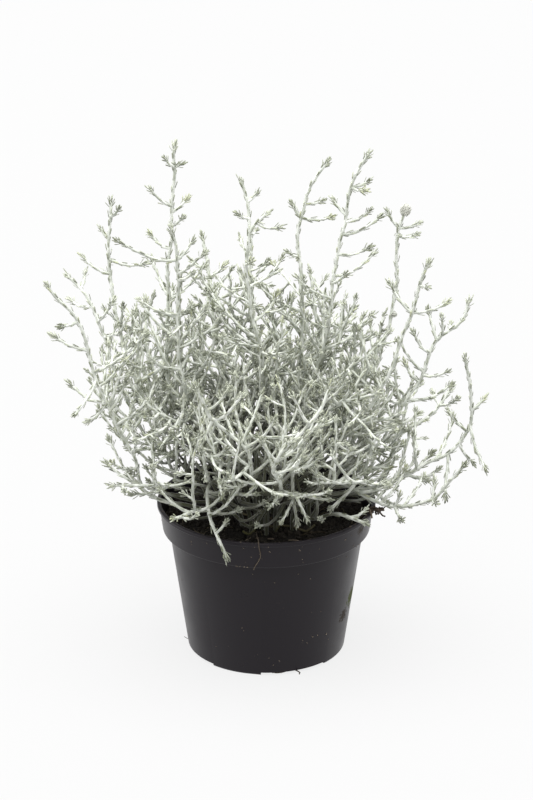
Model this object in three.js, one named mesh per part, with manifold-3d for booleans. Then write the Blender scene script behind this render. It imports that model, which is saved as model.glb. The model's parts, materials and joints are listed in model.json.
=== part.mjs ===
// Potted cushion bush: a silver, wiry, woolly shrublet in a round plastic nursery pot of peat.
// Millimetres, +Z up. The origin is the centre of the pot's flat base, on the pot's axis,
// and -Y is the front. Every stem follows a seeded rule, so each run grows the same bush.

import * as THREE from "three";
import { mergeVertices } from "three/addons/utils/BufferGeometryUtils.js";
import Module from "manifold-3d";

const wasm = await Module();
wasm.setup();

// Driving dimensions: the pot
const RIM_RADIUS = 60;
const POT_HEIGHT = 86;
const WALL = 1.2;
const LIP_HEIGHT = 2;
const LIP_WIDTH = 2.2;
const LIP_ROUND = 0.5;
const LIP_UNDERCUT = 0.5;
const COLLAR_FOOT_Z = 70.7;
const COLLAR_FOOT_RADIUS = 57;
const BODY_TOP_RADIUS = 53.3;
const BASE_RADIUS = 43.4;
const FLOOR_THICKNESS = 2.6;
const EDGE_ROUND = 1.4;
const COLLAR_STEP = 1.6;
const COLLAR_STEP_SHAPE = [[0, 1], [0.25, 0.56], [0.75, 0.35], [1, 0]];
const COLLAR_FLARE = 1.3;
const POT_SEGMENTS = 36;
const FOOT_COUNT = 4;
const FIRST_FOOT_ANGLE = -23;
const RAISED_SECTION_ANGLE = 52;
const RAISED_SECTION_DEPTH = 1.6;
const RAISED_SECTION_INNER = 28;
const RAISED_SECTION_OUTER = 50;
const DRAIN_RADIUS = 3.4;
const DRAIN_SIDES = 8;
const DRAIN_CIRCLE = 35.5;
const CUT_MARGIN = 1;

// Driving dimensions: the peat
const SOIL_TOP = 76;
const SOIL_BUMP = 1.1;
const SOIL_SEGMENTS = 24;
const SOIL_RINGS = [48, 37, 24, 11];
const SOIL_SHOULDER = 1.5;
const SOIL_CLEARANCE = 0.6;
const SEAT_GAP = 0.3;
const STEM_DEPTH = 12;
const HOLE_RADIUS = 2.05;

// Driving dimensions: the shoots
const GOLDEN_ANGLE = THREE.MathUtils.degToRad(137.508);
const GOLDEN_SHARE = 0.618;
const BASE_SPREAD = 4.6;
const PLACE_REACH = 19;
const PLACE_CHOICES = 9;
const SHIFT_TRIES = 40;
const SHIFT_STEP = 0.35;
const SHIFT_RISE = 0.5;
const COLLAR_RISE = 4;
const RULE_SHOOTS = 16;
const STATION_STEP = 20;
const MAIN_ROOT_RADIUS = 1.5;
const INNER_ROOT_RADIUS = 1.35;
const MAIN_TIP_RADIUS = 0.9;
const FIRST_SEED = 501;
const FIRST_ROUTE_SEED = 9001;
const SEED_STEP = 31;
const MAIN_SIDES = 4;
const ARM_SIDES = 3;
const ARM_ROOT_RADIUS = 0.95;
const ARM_TIP_RADIUS = 0.8;
const ARM_GIRTH = 0.8;
const ARM_KNEE = 0.45;
const SHORT_ARM = 14;
const NAMED_SLOPE = 0.6;
const NAMED_DEPTHS = [0, 5, -5, 10, -10, 15, -15, 20, -20];
const LEADING_RULE_ARMS = { count: 5, from: 0.3, to: 0.72 };
const INNER_RULE_ARMS = { count: 7, from: 0.3, to: 0.95 };
const ARM_TRIES = 16;
const ARM_SAG = 0.1;
const CLUSTER_RADIUS = 1.15;
const CLUSTER_LENGTH = 5;
const TIP_LENGTH = 2.2;
const LEAF_REACH = 2.4;
const CROWN_REACH = 1.9;
const CROWN_LENGTH = 3.4;
const CROWN_HEART = 0.8;
const BANDS_BELOW_TIP = [4.6, 17, 33];
const STEM_LEAF = { forward: 1.3, out: 1.25, crownForward: 3.6, crownOut: 1.3 };
const LEAF_BAND = 2.4;
const BAND_ROOM = 3.2;
const TIP_BAND_RADIUS = 1.2;
const ARM_WANDER = { first: 0.6, more: 0.4 };
const ARM_LEANS = [48, 80];
const ARM_LENGTHS = [52, 14];
const ARM_VARIATION = [0.75, 1.2];
const ARM_SHRINK = 0.03;
const ARM_DROOP = 0.1;
const ARM_LIFT = 0.35;
const STEM_GAP = 0.5;
const RIM_CLEARANCE = 0.6;
const MOUTH_CLEARANCE = 1.0;
const SKIN_REACH = 1.15;
const CUSHION_CENTRE = new THREE.Vector3(0, 0, 92);
const CUSHION_RADII = new THREE.Vector3(110, 102, 116);
const RULE_SECTOR = 1.15;
const RULE_WANDER = { turn: 0.2, lean: 0.8 };
const RULE_RISES = [0.94, 0.12];
const RULE_REACHES = [0.84, 0.95];
const RULE_KNEE = { out: 0.55, up: 0.6 };
const HEADED_SHOOT = "bud";
const HEAD_PROFILE = [[0, 1.9], [1.7, 2.5], [3.5, 2.8], [5.1, 2.3], [6.2, 1.2]];
const HEAD_REACH = 6.4;
const HEAD_SIDES = 8;
const HEAD_SOCKET_DEPTH = 1.7;
const HEAD_SOCKET_RADIUS = 1.35;
const HEAD_SCALE = { forward: 0.7, out: 0.4, crownForward: 0.7, crownOut: 0.1 };
const MERGE_TOLERANCE = 0.05;

// The shoots that lead out of the cushion. route holds the points that a shoot passes on its way
// up from the soil, and arms the tips of its side arms. A fourth number on an arm's tip says how
// far below the tip it leaves the shoot, as a share of its reach: below zero, it droops.
const LEADING = {
  tall_left: {
    route: [[-49, 2, 144], [-54, 4, 175], [-53, 5, 200], [-50, 9, 253], [-48, 12, 284]],
    arms: [[-62, 2, 263], [-42, 16, 254], [-63, 14, 235], [-44, 0, 249], [-53, 5, 279],
      [-45, 12, 274], [-62, 22, 216]],
  },
  tall_left_twin: {
    route: [[-43, -14, 153], [-47, -18, 208], [-46, -20, 232], [-49, -22, 249]],
    arms: [[-38, -14, 240], [-78, -24, 244], [-32, -26, 237], [-38, -30, 228], [-66, -22, 210]],
  },
  left_spike: {
    route: [[-56, 12, 122], [-71, 15, 147], [-80, 18, 178], [-85, 24, 212], [-84, 30, 248]],
    arms: [[-65, 21, 215, -0.1], [-99, 27, 217], [-79, 21, 246], [-89, 31, 232]],
  },
  left_second: {
    route: [[-58, -5, 117], [-74, -4, 143], [-89, -1, 186], [-97, 2, 205], [-107, 5, 214]],
    arms: [[-98, 11, 215], [-82, -9, 205], [-106, 15, 197]],
  },
  left_outer: {
    route: [[-41, -28, 94], [-64, -30, 103], [-72, -32, 126], [-86, -35, 159], [-99, -37, 202],
      [-113, -40, 224]],
    arms: [[-108, -43, 202], [-112, -33, 193], [-101, -49, 156, -0.6], [-96, -31, 144, -0.5],
      [-105, -25, 164], [-71, -45, 118]],
  },
  left_inner: {
    route: [[-26, 25, 164], [-29, 29, 182], [-31, 37, 203], [-35, 45, 223]],
    arms: [[-23, 38, 209], [-19, 28, 211], [-41, 46, 208]],
  },
  mid_left: {
    route: [[-7, 25, 173], [-9, 29, 205], [-9, 36, 236], [-14, 40, 257]],
    arms: [[-16, 33, 239], [-5, 41, 249], [-14, 47, 221], [0, 29, 214]],
  },
  mid: {
    route: [[5, -6, 175], [2, -7, 209], [-1, -9, 242], [1, -10, 254]],
    arms: [[8, -15, 248], [-5, -5, 242], [9, -1, 226], [-8, -19, 230]],
  },
  centre_right: {
    route: [[23, 15, 168], [25, 18, 208], [24, 20, 236], [27, 22, 256], [33, 25, 271]],
    arms: [[13, 24, 248], [34, 16, 244], [30, 27, 249], [12, 18, 223]],
  },
  right_tall: {
    route: [[30, -2, 171], [35, -2, 205], [40, -1, 239], [45, 0, 265], [54, 0, 283]],
    arms: [[54, 3, 267], [52, -5, 265], [35, 4, 257], [54, -3, 253], [61, 5, 247],
      [54, -8, 234], [58, 10, 225], [43, -12, 221]],
  },
  bud: {
    route: [[55, 10, 158], [66, 12, 180], [70, 14, 209], [70, 16, 233], [74, 18, 245]],
    arms: [[65, 17, 246], [82, 19, 239], [80, 11, 235]],
  },
  right_second: {
    route: [[58, -20, 152], [71, -21, 184], [80, -24, 215], [85, -25, 231]],
    arms: [[85, -28, 219], [65, -17, 217], [95, -18, 208]],
  },
  right_third: {
    route: [[54, 5, 116], [81, 6, 149], [92, 8, 176], [105, 9, 188], [109, 10, 198]],
    arms: [[88, 13, 192], [94, 4, 191], [99, 14, 184], [79, 3, 183], [98, -1, 161], [101, 17, 147]],
  },
  right_outer: {
    route: [[64, -12, 100], [88, -13, 113], [107, -16, 129], [110, -18, 150], [106, -20, 176]],
    arms: [[118, -26, 115, -0.5], [98, -12, 142], [117, -14, 150], [111, -10, 113, -0.3],
      [97, -28, 98, -0.5]],
  },
  right_mid: {
    route: [[57, 20, 107], [86, 26, 122], [102, 35, 138]],
    arms: [[92, 36, 135], [104, 22, 136]],
  },
  right_trail: {
    route: [[37, -30, 109], [57, -34, 100], [77, -40, 99], [93, -46, 111], [104, -52, 128]],
    arms: [[89, -41, 114], [90, -51, 107], [71, -49, 95], [71, -39, 106]],
  },
  right_low: {
    route: [[59, 0, 91], [75, 2, 99], [87, 5, 95]],
    arms: [[94, 7, 100], [83, 11, 108]],
  },
  rim_hang: {
    route: [[-29, -40, 114], [-33, -45, 110], [-25, -61, 89], [-21, -66, 81]],
    arms: [[-21, -61, 100, -0.4]],
  },
  vee: {
    route: [[-24, -30, 100], [-15, -33, 89], [-8, -37, 86], [0, -40, 100]],
    arms: [[-2, -34, 93]],
  },
  front_rise: {
    route: [[-15, -35, 101], [1, -45, 110], [19, -55, 129]],
    arms: [[8, -52, 113], [2, -48, 124], [16, -56, 97, -0.6]],
  },
  front_fall: {
    route: [[48, -22, 126], [56, -30, 133], [53, -34, 119], [45, -39, 108], [34, -48, 101]],
    arms: [[53, -38, 115]],
  },
  front_low: {
    route: [[14, -30, 97], [23, -34, 90], [36, -42, 95], [52, -50, 94]],
    arms: [[52, -42, 97], [27, -48, 106]],
  },
  front_arch: {
    route: [[-8, -55, 115], [-10, -80, 141], [-28, -87, 164], [-36, -85, 185]],
    arms: [[-12, -90, 182], [-33, -83, 155, -0.4], [-20, -85, 183]],
  },
  front_right_arch: {
    route: [[8, -58, 118], [5, -85, 145], [25, -85, 168], [33, -83, 185]],
    arms: [[13, -91, 158], [-2, -93, 159], [13, -95, 184]],
  },
};

// Short forms of the vectors and of the blend between two numbers
const vec = (x, y, z) => new THREE.Vector3(x, y, z);
const up = () => vec(0, 0, 1);
const lerp = THREE.MathUtils.lerp;

// One stream of repeatable random numbers from 0 to 1, begun afresh for each shoot
function randomStream(seed) {
  let state = seed >>> 0;
  const next = () => {
    state = (Math.imul(state, 1664525) + 1013904223) >>> 0;
    return state / 4294967296;
  };
  next();
  next();
  return next;
}

// A closed solid from a three.js geometry
function solidOf(geometry) {
  const bare = geometry.clone();
  bare.deleteAttribute("normal");
  bare.deleteAttribute("uv");
  const joined = mergeVertices(bare, 1e-4);
  return new wasm.Manifold(new wasm.Mesh({
    numProp: 3,
    vertProperties: new Float32Array(joined.attributes.position.array),
    triVerts: new Uint32Array(joined.index.array),
  }));
}

// A closed solid from its corners and its three-cornered faces
function solidFrom(corners, faces) {
  return new wasm.Manifold(new wasm.Mesh({
    numProp: 3,
    vertProperties: new Float32Array(corners.flatMap((corner) => corner.toArray())),
    triVerts: new Uint32Array(faces.flat()),
  }));
}

function meshOf(name, solid, material) {
  const { vertProperties, triVerts } = solid.getMesh();
  const geometry = new THREE.BufferGeometry();
  geometry.setAttribute("position", new THREE.BufferAttribute(new Float32Array(vertProperties), 3));
  geometry.setIndex(new THREE.BufferAttribute(new Uint32Array(triVerts), 1));
  geometry.computeVertexNormals();
  const mesh = new THREE.Mesh(geometry, material);
  mesh.name = name;
  return mesh;
}

// A solid turned on the pot's axis from a profile of [radius, height]
function turned(profile, segments) {
  const points = profile.map(([radius, height]) => new THREE.Vector2(radius, height));
  return solidOf(new THREE.LatheGeometry(points, segments).rotateX(Math.PI / 2));
}

// A prism of an outline, from one height to another
function prism(outline, bottom, top) {
  const shape = new THREE.Shape(outline.map(([x, y]) => new THREE.Vector2(x, y)));
  const options = { depth: top - bottom, bevelEnabled: false };
  return solidOf(new THREE.ExtrudeGeometry(shape, options).translate(0, 0, bottom));
}

// The point on a circle round the axis, and a ring of such points round any centre
function onCircle(radius, degrees) {
  const angle = THREE.MathUtils.degToRad(degrees);
  return [radius * Math.cos(angle), radius * Math.sin(angle)];
}

function ringOutline(centreX, centreY, radius, sides) {
  return Array.from({ length: sides }, (_, side) => {
    const [x, y] = onCircle(radius, (360 * side) / sides);
    return [centreX + x, centreY + y];
  });
}

// Flat faces that a join has split are made one again, within a tolerance
function merged(solid) {
  return solid.asOriginal().simplify(MERGE_TOLERANCE);
}

// Pot: a tapered cup with a stepped collar, a rolled lip and four feet between raised sections
function potSolid() {
  const lipZ = POT_HEIGHT - LIP_HEIGHT;
  const collarTop = RIM_RADIUS - COLLAR_FLARE;
  const outside = [
    [0, 0],
    [BASE_RADIUS - EDGE_ROUND, 0],
    [BASE_RADIUS, EDGE_ROUND],
    ...COLLAR_STEP_SHAPE.map(([out, down]) => {
      return [lerp(BODY_TOP_RADIUS, COLLAR_FOOT_RADIUS, out), COLLAR_FOOT_Z - down * COLLAR_STEP];
    }),
    [collarTop, lipZ - LIP_UNDERCUT],
    [RIM_RADIUS, lipZ],
    [RIM_RADIUS, POT_HEIGHT - LIP_ROUND],
  ];
  const inside = [
    [RIM_RADIUS - LIP_ROUND, POT_HEIGHT],
    [RIM_RADIUS - LIP_WIDTH, POT_HEIGHT],
    [collarTop - WALL, lipZ - LIP_UNDERCUT],
    [COLLAR_FOOT_RADIUS - WALL, COLLAR_FOOT_Z + 0.5 * WALL],
    [BODY_TOP_RADIUS - WALL, COLLAR_FOOT_Z - COLLAR_STEP + WALL],
    [BASE_RADIUS - WALL, FLOOR_THICKNESS],
    [0, FLOOR_THICKNESS],
  ];
  const pitch = 360 / FOOT_COUNT;
  const cuts = [];
  for (let foot = 0; foot < FOOT_COUNT; foot += 1) {
    const middle = FIRST_FOOT_ANGLE - 90 + (foot + 0.5) * pitch;
    const angles = [-0.5, -0.25, 0, 0.25, 0.5].map((share) => middle + share * RAISED_SECTION_ANGLE);
    const outer = angles.map((angle) => onCircle(RAISED_SECTION_OUTER, angle));
    const inner = angles.toReversed().map((angle) => onCircle(RAISED_SECTION_INNER, angle));
    cuts.push(prism([...outer, ...inner], -CUT_MARGIN, RAISED_SECTION_DEPTH));
    const drain = ringOutline(...onCircle(DRAIN_CIRCLE, middle), DRAIN_RADIUS, DRAIN_SIDES);
    cuts.push(prism(drain, -CUT_MARGIN, FLOOR_THICKNESS + CUT_MARGIN));
  }
  return merged(turned([...outside, ...inside], POT_SEGMENTS).subtract(wasm.Manifold.union(cuts)));
}

// Height of the peat's crumbly surface
function soilHeight(x, y) {
  const waves = Math.sin(x * 0.19 + 1.3) * Math.cos(y * 0.16 - 0.4) + 0.6 * Math.sin(x * 0.37 - y * 0.31);
  return SOIL_TOP + SOIL_BUMP * 0.6 * waves;
}

// Peat: fills the pot with a small gap all round, and has a plain hole for each shoot
function soilSolid(bases) {
  const floor = FLOOR_THICKNESS + SEAT_GAP;
  const shoulder = SOIL_TOP - SOIL_SHOULDER;
  const inset = WALL + SOIL_CLEARANCE;
  const flare = COLLAR_FLARE + COLLAR_FOOT_RADIUS - RIM_RADIUS;
  const shoulderShare = (shoulder - COLLAR_FOOT_Z) / (POT_HEIGHT - LIP_HEIGHT - LIP_UNDERCUT - COLLAR_FOOT_Z);
  const profile = [
    [0, floor],
    [BASE_RADIUS - inset, floor],
    [BODY_TOP_RADIUS - inset, COLLAR_FOOT_Z - COLLAR_STEP + WALL + SEAT_GAP],
    [COLLAR_FOOT_RADIUS - inset, COLLAR_FOOT_Z + WALL + SEAT_GAP],
    [COLLAR_FOOT_RADIUS - flare * shoulderShare - inset, shoulder],
    ...SOIL_RINGS.map((radius) => [radius, SOIL_TOP]),
    [0, SOIL_TOP],
  ];
  const points = profile.map(([radius, height]) => new THREE.Vector2(radius, height));
  const geometry = new THREE.LatheGeometry(points, SOIL_SEGMENTS).rotateX(Math.PI / 2);
  const place = geometry.attributes.position;
  for (let i = 0; i < place.count; i += 1) {
    if (place.getZ(i) > SOIL_TOP - 0.5) {
      place.setZ(i, soilHeight(place.getX(i), place.getY(i)));
    }
  }
  const holes = bases.map((base) => {
    const outline = ringOutline(base.x, base.y, HOLE_RADIUS, MAIN_SIDES);
    return prism(outline, SOIL_TOP - STEM_DEPTH - SEAT_GAP, SOIL_TOP + COLLAR_RISE);
  });
  return merged(solidOf(geometry).subtract(wasm.Manifold.union(holes)));
}

// A smooth line through its points that leaves the first one straight up, as [point, ...]
function smoothLine(points, step) {
  const last = points.length - 1;
  const directions = points.map((point, i) => {
    if (i === 0) {
      return up();
    }
    const ahead = points[Math.min(i + 1, last)];
    return ahead.clone().sub(points[i - 1]).normalize();
  });
  const line = [points[0].clone()];
  for (let i = 0; i < last; i += 1) {
    const span = points[i].distanceTo(points[i + 1]);
    const count = Math.max(1, Math.round(span / step));
    for (let j = 1; j <= count; j += 1) {
      const t = j / count;
      const t2 = t * t;
      const t3 = t2 * t;
      line.push(vec(0, 0, 0)
        .addScaledVector(points[i], 2 * t3 - 3 * t2 + 1)
        .addScaledVector(directions[i], span * (t3 - 2 * t2 + t))
        .addScaledVector(points[i + 1], 3 * t2 - 2 * t3)
        .addScaledVector(directions[i + 1], span * (t3 - t2)));
    }
  }
  return line;
}

// How far along a line each of its points lies
function distancesAlong(line) {
  const along = [0];
  for (let i = 1; i < line.length; i += 1) {
    along.push(along[i - 1] + line[i].distanceTo(line[i - 1]));
  }
  return along;
}

// The point and the direction at one distance along a line
function pointAlong(line, along, distance) {
  let i = 1;
  while (i < line.length - 1 && along[i] < distance) {
    i += 1;
  }
  const t = THREE.MathUtils.clamp((distance - along[i - 1]) / (along[i] - along[i - 1]), 0, 1);
  const direction = line[i].clone().sub(line[i - 1]).normalize();
  return { point: line[i - 1].clone().lerp(line[i], t), direction };
}

// Shortest distance between two straight pieces of stem
function segmentDistance(a, b, c, d) {
  const u = b.clone().sub(a);
  const v = d.clone().sub(c);
  const w = a.clone().sub(c);
  const uu = u.dot(u);
  const vv = v.dot(v);
  const uv = u.dot(v);
  const uw = u.dot(w);
  const vw = v.dot(w);
  const det = uu * vv - uv * uv;
  const clamp = (value) => Math.min(1, Math.max(0, value));
  let s = det > 1e-9 ? clamp((uv * vw - vv * uw) / det) : 0;
  let t = (uv * s + vw) / vv;
  if (t < 0) {
    t = 0;
    s = clamp(-uw / uu);
  } else if (t > 1) {
    t = 1;
    s = clamp((uv - uw) / uu);
  }
  return w.addScaledVector(u, s).addScaledVector(v, -t).length();
}

// The pieces of stem that hold space so far: two ends, a radius and the shoot they belong to
const held = [];

function piecesOf(line, radii, owner) {
  return line.slice(1).map((point, i) => {
    return { a: line[i], b: point, radius: Math.max(radii[i], radii[i + 1]), owner };
  });
}

// The space that a crown of leaves, or a flower head, takes beyond the end of its stem
function endPiece(line, length, radius, owner) {
  const [before, tip] = line.slice(-2);
  const direction = tip.clone().sub(before).normalize();
  return { a: tip, b: tip.clone().addScaledVector(direction, length), radius, owner };
}

// The space that a short leafy band takes round a main stem
function bandPieces(line, owner) {
  const along = distancesAlong(line);
  return bandPlaces(along.at(-1)).map((at) => {
    const a = pointAlong(line, along, at).point;
    const b = pointAlong(line, along, at + LEAF_BAND + STEM_LEAF.forward).point;
    return { a, b, radius: LEAF_REACH, owner };
  });
}

// How far along a main stem its leafy bands start
function bandPlaces(total) {
  return BANDS_BELOW_TIP.map((below) => total - below);
}

// A stem inside the pot stays above the peat, and one over the wall stays above the rim
function clearOfPot(point, radius) {
  const reach = Math.hypot(point.x, point.y);
  if (point.z - radius > POT_HEIGHT + RIM_CLEARANCE || reach - radius > RIM_RADIUS + RIM_CLEARANCE) {
    return true;
  }
  const inside = COLLAR_FOOT_RADIUS - WALL - MOUTH_CLEARANCE;
  return reach + radius < inside && point.z - radius > SOIL_TOP + SOIL_BUMP + RIM_CLEARANCE;
}

function piecesAreClear(pieces) {
  return pieces.every((piece) => held.every((other) => {
    if (other.owner === piece.owner) {
      return true;
    }
    const need = piece.radius + other.radius + STEM_GAP;
    return segmentDistance(piece.a, piece.b, other.a, other.b) > need;
  }));
}

function lineClearsPot(line, radii) {
  return line.every((point, i) => {
    const middle = i > 0 ? point.clone().lerp(line[i - 1], 0.5) : point;
    return clearOfPot(point, radii[i]) && clearOfPot(middle, radii[i]);
  });
}

// The free place in the peat, among those laid out as in a sunflower, that suits a shoot's lean
const freePlaces = Array.from({ length: Object.keys(LEADING).length + RULE_SHOOTS }, (_, i) => {
  const radius = BASE_SPREAD * Math.sqrt(i + 0.5);
  return vec(radius * Math.cos(i * GOLDEN_ANGLE), radius * Math.sin(i * GOLDEN_ANGLE), SOIL_TOP);
});

// How far from upright a shoot sets out, in radians
function leanOf(target) {
  return Math.atan2(Math.hypot(target.x, target.y), target.z - SOIL_TOP);
}

function placesNear(target) {
  const wish = vec(target.x, target.y, 0).setLength(PLACE_REACH * leanOf(target));
  wish.z = SOIL_TOP;
  return freePlaces.toSorted((a, b) => a.distanceTo(wish) - b.distanceTo(wish)).slice(0, PLACE_CHOICES);
}

// The main stem of a shoot: it takes the free place that suits its lean, or one of the next ones,
// and its middle moves aside by growing steps until it is clear of the shoots grown before it
function growMain({ name, route, owner, rootRadius }) {
  const random = randomStream(FIRST_SEED + SEED_STEP * owner);
  for (const base of placesNear(route[0])) {
    const collar = base.clone().setZ(SOIL_TOP + COLLAR_RISE);
    const foot = base.clone().setZ(SOIL_TOP - STEM_DEPTH);
    for (let attempt = 0; attempt < SHIFT_TRIES; attempt += 1) {
      const angle = random() * 2 * Math.PI;
      const shift = vec(Math.cos(angle), Math.sin(angle), SHIFT_RISE * (random() - 0.5))
        .multiplyScalar(SHIFT_STEP * attempt);
      const points = [collar, ...route].map((point, i) => {
        return point.clone().addScaledVector(shift, Math.sin((Math.PI * i) / route.length));
      });
      const line = smoothLine(points, STATION_STEP);
      const radii = line.map((_, i) => lerp(rootRadius, MAIN_TIP_RADIUS, i / (line.length - 1)));
      const widest = radii.map((radius) => radius * SKIN_REACH);
      const end = name === HEADED_SHOOT
        ? endPiece(line, HEAD_REACH, HEAD_REACH / 2, owner)
        : endPiece(line, CROWN_LENGTH, CROWN_REACH, owner);
      const pieces = [...piecesOf(line, widest, owner), ...bandPieces(line, owner), end];
      const free = piecesAreClear(pieces) && lineClearsPot(line.slice(1), widest.slice(1));
      if (free && clearOfPot(end.b, end.radius)) {
        held.push(...pieces);
        freePlaces.splice(freePlaces.indexOf(base), 1);
        const whole = { line: [foot, ...line], radii: [rootRadius, ...radii] };
        return { name, owner, base, ...whole, arms: [], random };
      }
    }
  }
  return null;
}

// A side arm from a point of its shoot to a tip, sagging a little in its middle
function armLine(root, tip, leafy) {
  const reach = tip.clone().sub(root);
  const length = reach.length();
  const knee = length < SHORT_ARM ? [] : [ARM_KNEE];
  const band = leafy ? [1 - CLUSTER_LENGTH / length] : [];
  const shares = [0, ...knee, ...band, 1 - TIP_LENGTH / length];
  return shares.map((share) => {
    const bow = -ARM_SAG * length * 4 * share * (1 - share);
    return root.clone().addScaledVector(reach, share).addScaledVector(up(), bow);
  });
}

function tryArm(shoot, root, tip, parentRadius, leafy) {
  const line = armLine(root, tip, leafy);
  const rootRadius = Math.min(ARM_ROOT_RADIUS, ARM_GIRTH * parentRadius);
  const radii = line.map((_, i) => lerp(rootRadius, ARM_TIP_RADIUS, i / (line.length - 1)));
  const widest = radii.map((radius, i) => {
    return i < line.length - (leafy ? 2 : 1) ? radius * SKIN_REACH : CROWN_REACH;
  });
  const end = endPiece(line, CROWN_LENGTH, CROWN_REACH, shoot.owner);
  const pieces = [...piecesOf(line, widest, shoot.owner), end];
  const free = piecesAreClear(pieces) && lineClearsPot(line.slice(1), widest.slice(1));
  if (!free || !clearOfPot(end.b, end.radius)) {
    return false;
  }
  held.push(...pieces);
  shoot.arms.push({ line, radii, leafy });
  return true;
}

// An arm to a known tip leaves the shoot below the place that is nearest to the tip
function growNamedArm(shoot, [x, y, z, slope = NAMED_SLOPE]) {
  const along = distancesAlong(shoot.line);
  const total = along.at(-1);
  return NAMED_DEPTHS.some((depth) => {
    const tip = vec(x, y + depth, z);
    let nearest = 0;
    let gap = Infinity;
    for (let distance = STEM_DEPTH; distance <= total; distance += 1) {
      const found = pointAlong(shoot.line, along, distance).point.distanceTo(tip);
      if (found < gap) {
        gap = found;
        nearest = distance;
      }
    }
    const lowest = STEM_DEPTH + 2 * COLLAR_RISE;
    const distance = THREE.MathUtils.clamp(nearest - slope * gap, lowest, total - CLUSTER_LENGTH);
    const root = pointAlong(shoot.line, along, distance).point;
    const parentRadius = lerp(shoot.radii[0], MAIN_TIP_RADIUS, distance / total);
    return tryArm(shoot, root, tip, parentRadius, true);
  });
}

// Arms by rule: they turn round the shoot by the golden angle and shorten towards its tip
function growRuleArms(shoot, { count, from, to }) {
  const along = distancesAlong(shoot.line);
  const total = along.at(-1);
  for (let i = 0; i < count; i += 1) {
    const share = lerp(from, to, (i + 0.5) / count);
    const { point, direction } = pointAlong(shoot.line, along, share * total);
    const side = direction.clone().cross(Math.abs(direction.z) > 0.9 ? vec(1, 0, 0) : up()).normalize();
    const other = direction.clone().cross(side);
    const parentRadius = lerp(shoot.radii[0], MAIN_TIP_RADIUS, share);
    for (let attempt = 0; attempt < ARM_TRIES; attempt += 1) {
      const wander = ARM_WANDER.first + ARM_WANDER.more * attempt;
      const turn = i * GOLDEN_ANGLE + shoot.random() * wander;
      const lean = THREE.MathUtils.degToRad(lerp(...ARM_LEANS, shoot.random()));
      const size = lerp(...ARM_VARIATION, shoot.random()) * (1 - ARM_SHRINK * attempt);
      const length = lerp(...ARM_LENGTHS, share) * size;
      const reach = vec(0, 0, ARM_LIFT)
        .addScaledVector(direction, Math.cos(lean))
        .addScaledVector(side, Math.sin(lean) * Math.cos(turn))
        .addScaledVector(other, Math.sin(lean) * Math.sin(turn))
        .setLength(length);
      const tip = point.clone().add(reach);
      const fits = reach.z > -ARM_DROOP * length && insideCushion(tip);
      if (fits && tryArm(shoot, point, tip, parentRadius, false)) {
        break;
      }
    }
  }
}

// The cushion's outline: a flattened ball round the middle of the bush
function cushionReach(direction) {
  return 1 / direction.clone().divide(CUSHION_RADII).length();
}

function insideCushion(point) {
  const out = point.clone().sub(CUSHION_CENTRE);
  return out.length() < cushionReach(out.clone().normalize());
}

// Shoots by rule: they fill the cushion evenly between the leading ones
function ruleRoute(index) {
  const random = randomStream(FIRST_ROUTE_SEED + SEED_STEP * index);
  const sector = index % 2 === 0 ? Math.PI / 2 : -Math.PI / 2;
  const spread = RULE_SECTOR * (2 * ((index * GOLDEN_SHARE) % 1) - 1);
  const turn = sector + spread + RULE_WANDER.turn * (random() - 0.5);
  const rise = lerp(...RULE_RISES, (index + RULE_WANDER.lean * random()) / RULE_SHOOTS);
  const lean = Math.acos(rise);
  const direction = vec(Math.sin(lean) * Math.cos(turn), Math.sin(lean) * Math.sin(turn), Math.cos(lean));
  const reach = cushionReach(direction) * lerp(...RULE_REACHES, random());
  const tip = CUSHION_CENTRE.clone().addScaledVector(direction, reach);
  const knee = vec(tip.x, tip.y, 0).multiplyScalar(RULE_KNEE.out);
  knee.z = lerp(SOIL_TOP + 3 * COLLAR_RISE, tip.z, RULE_KNEE.up);
  return [knee, tip];
}

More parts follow.
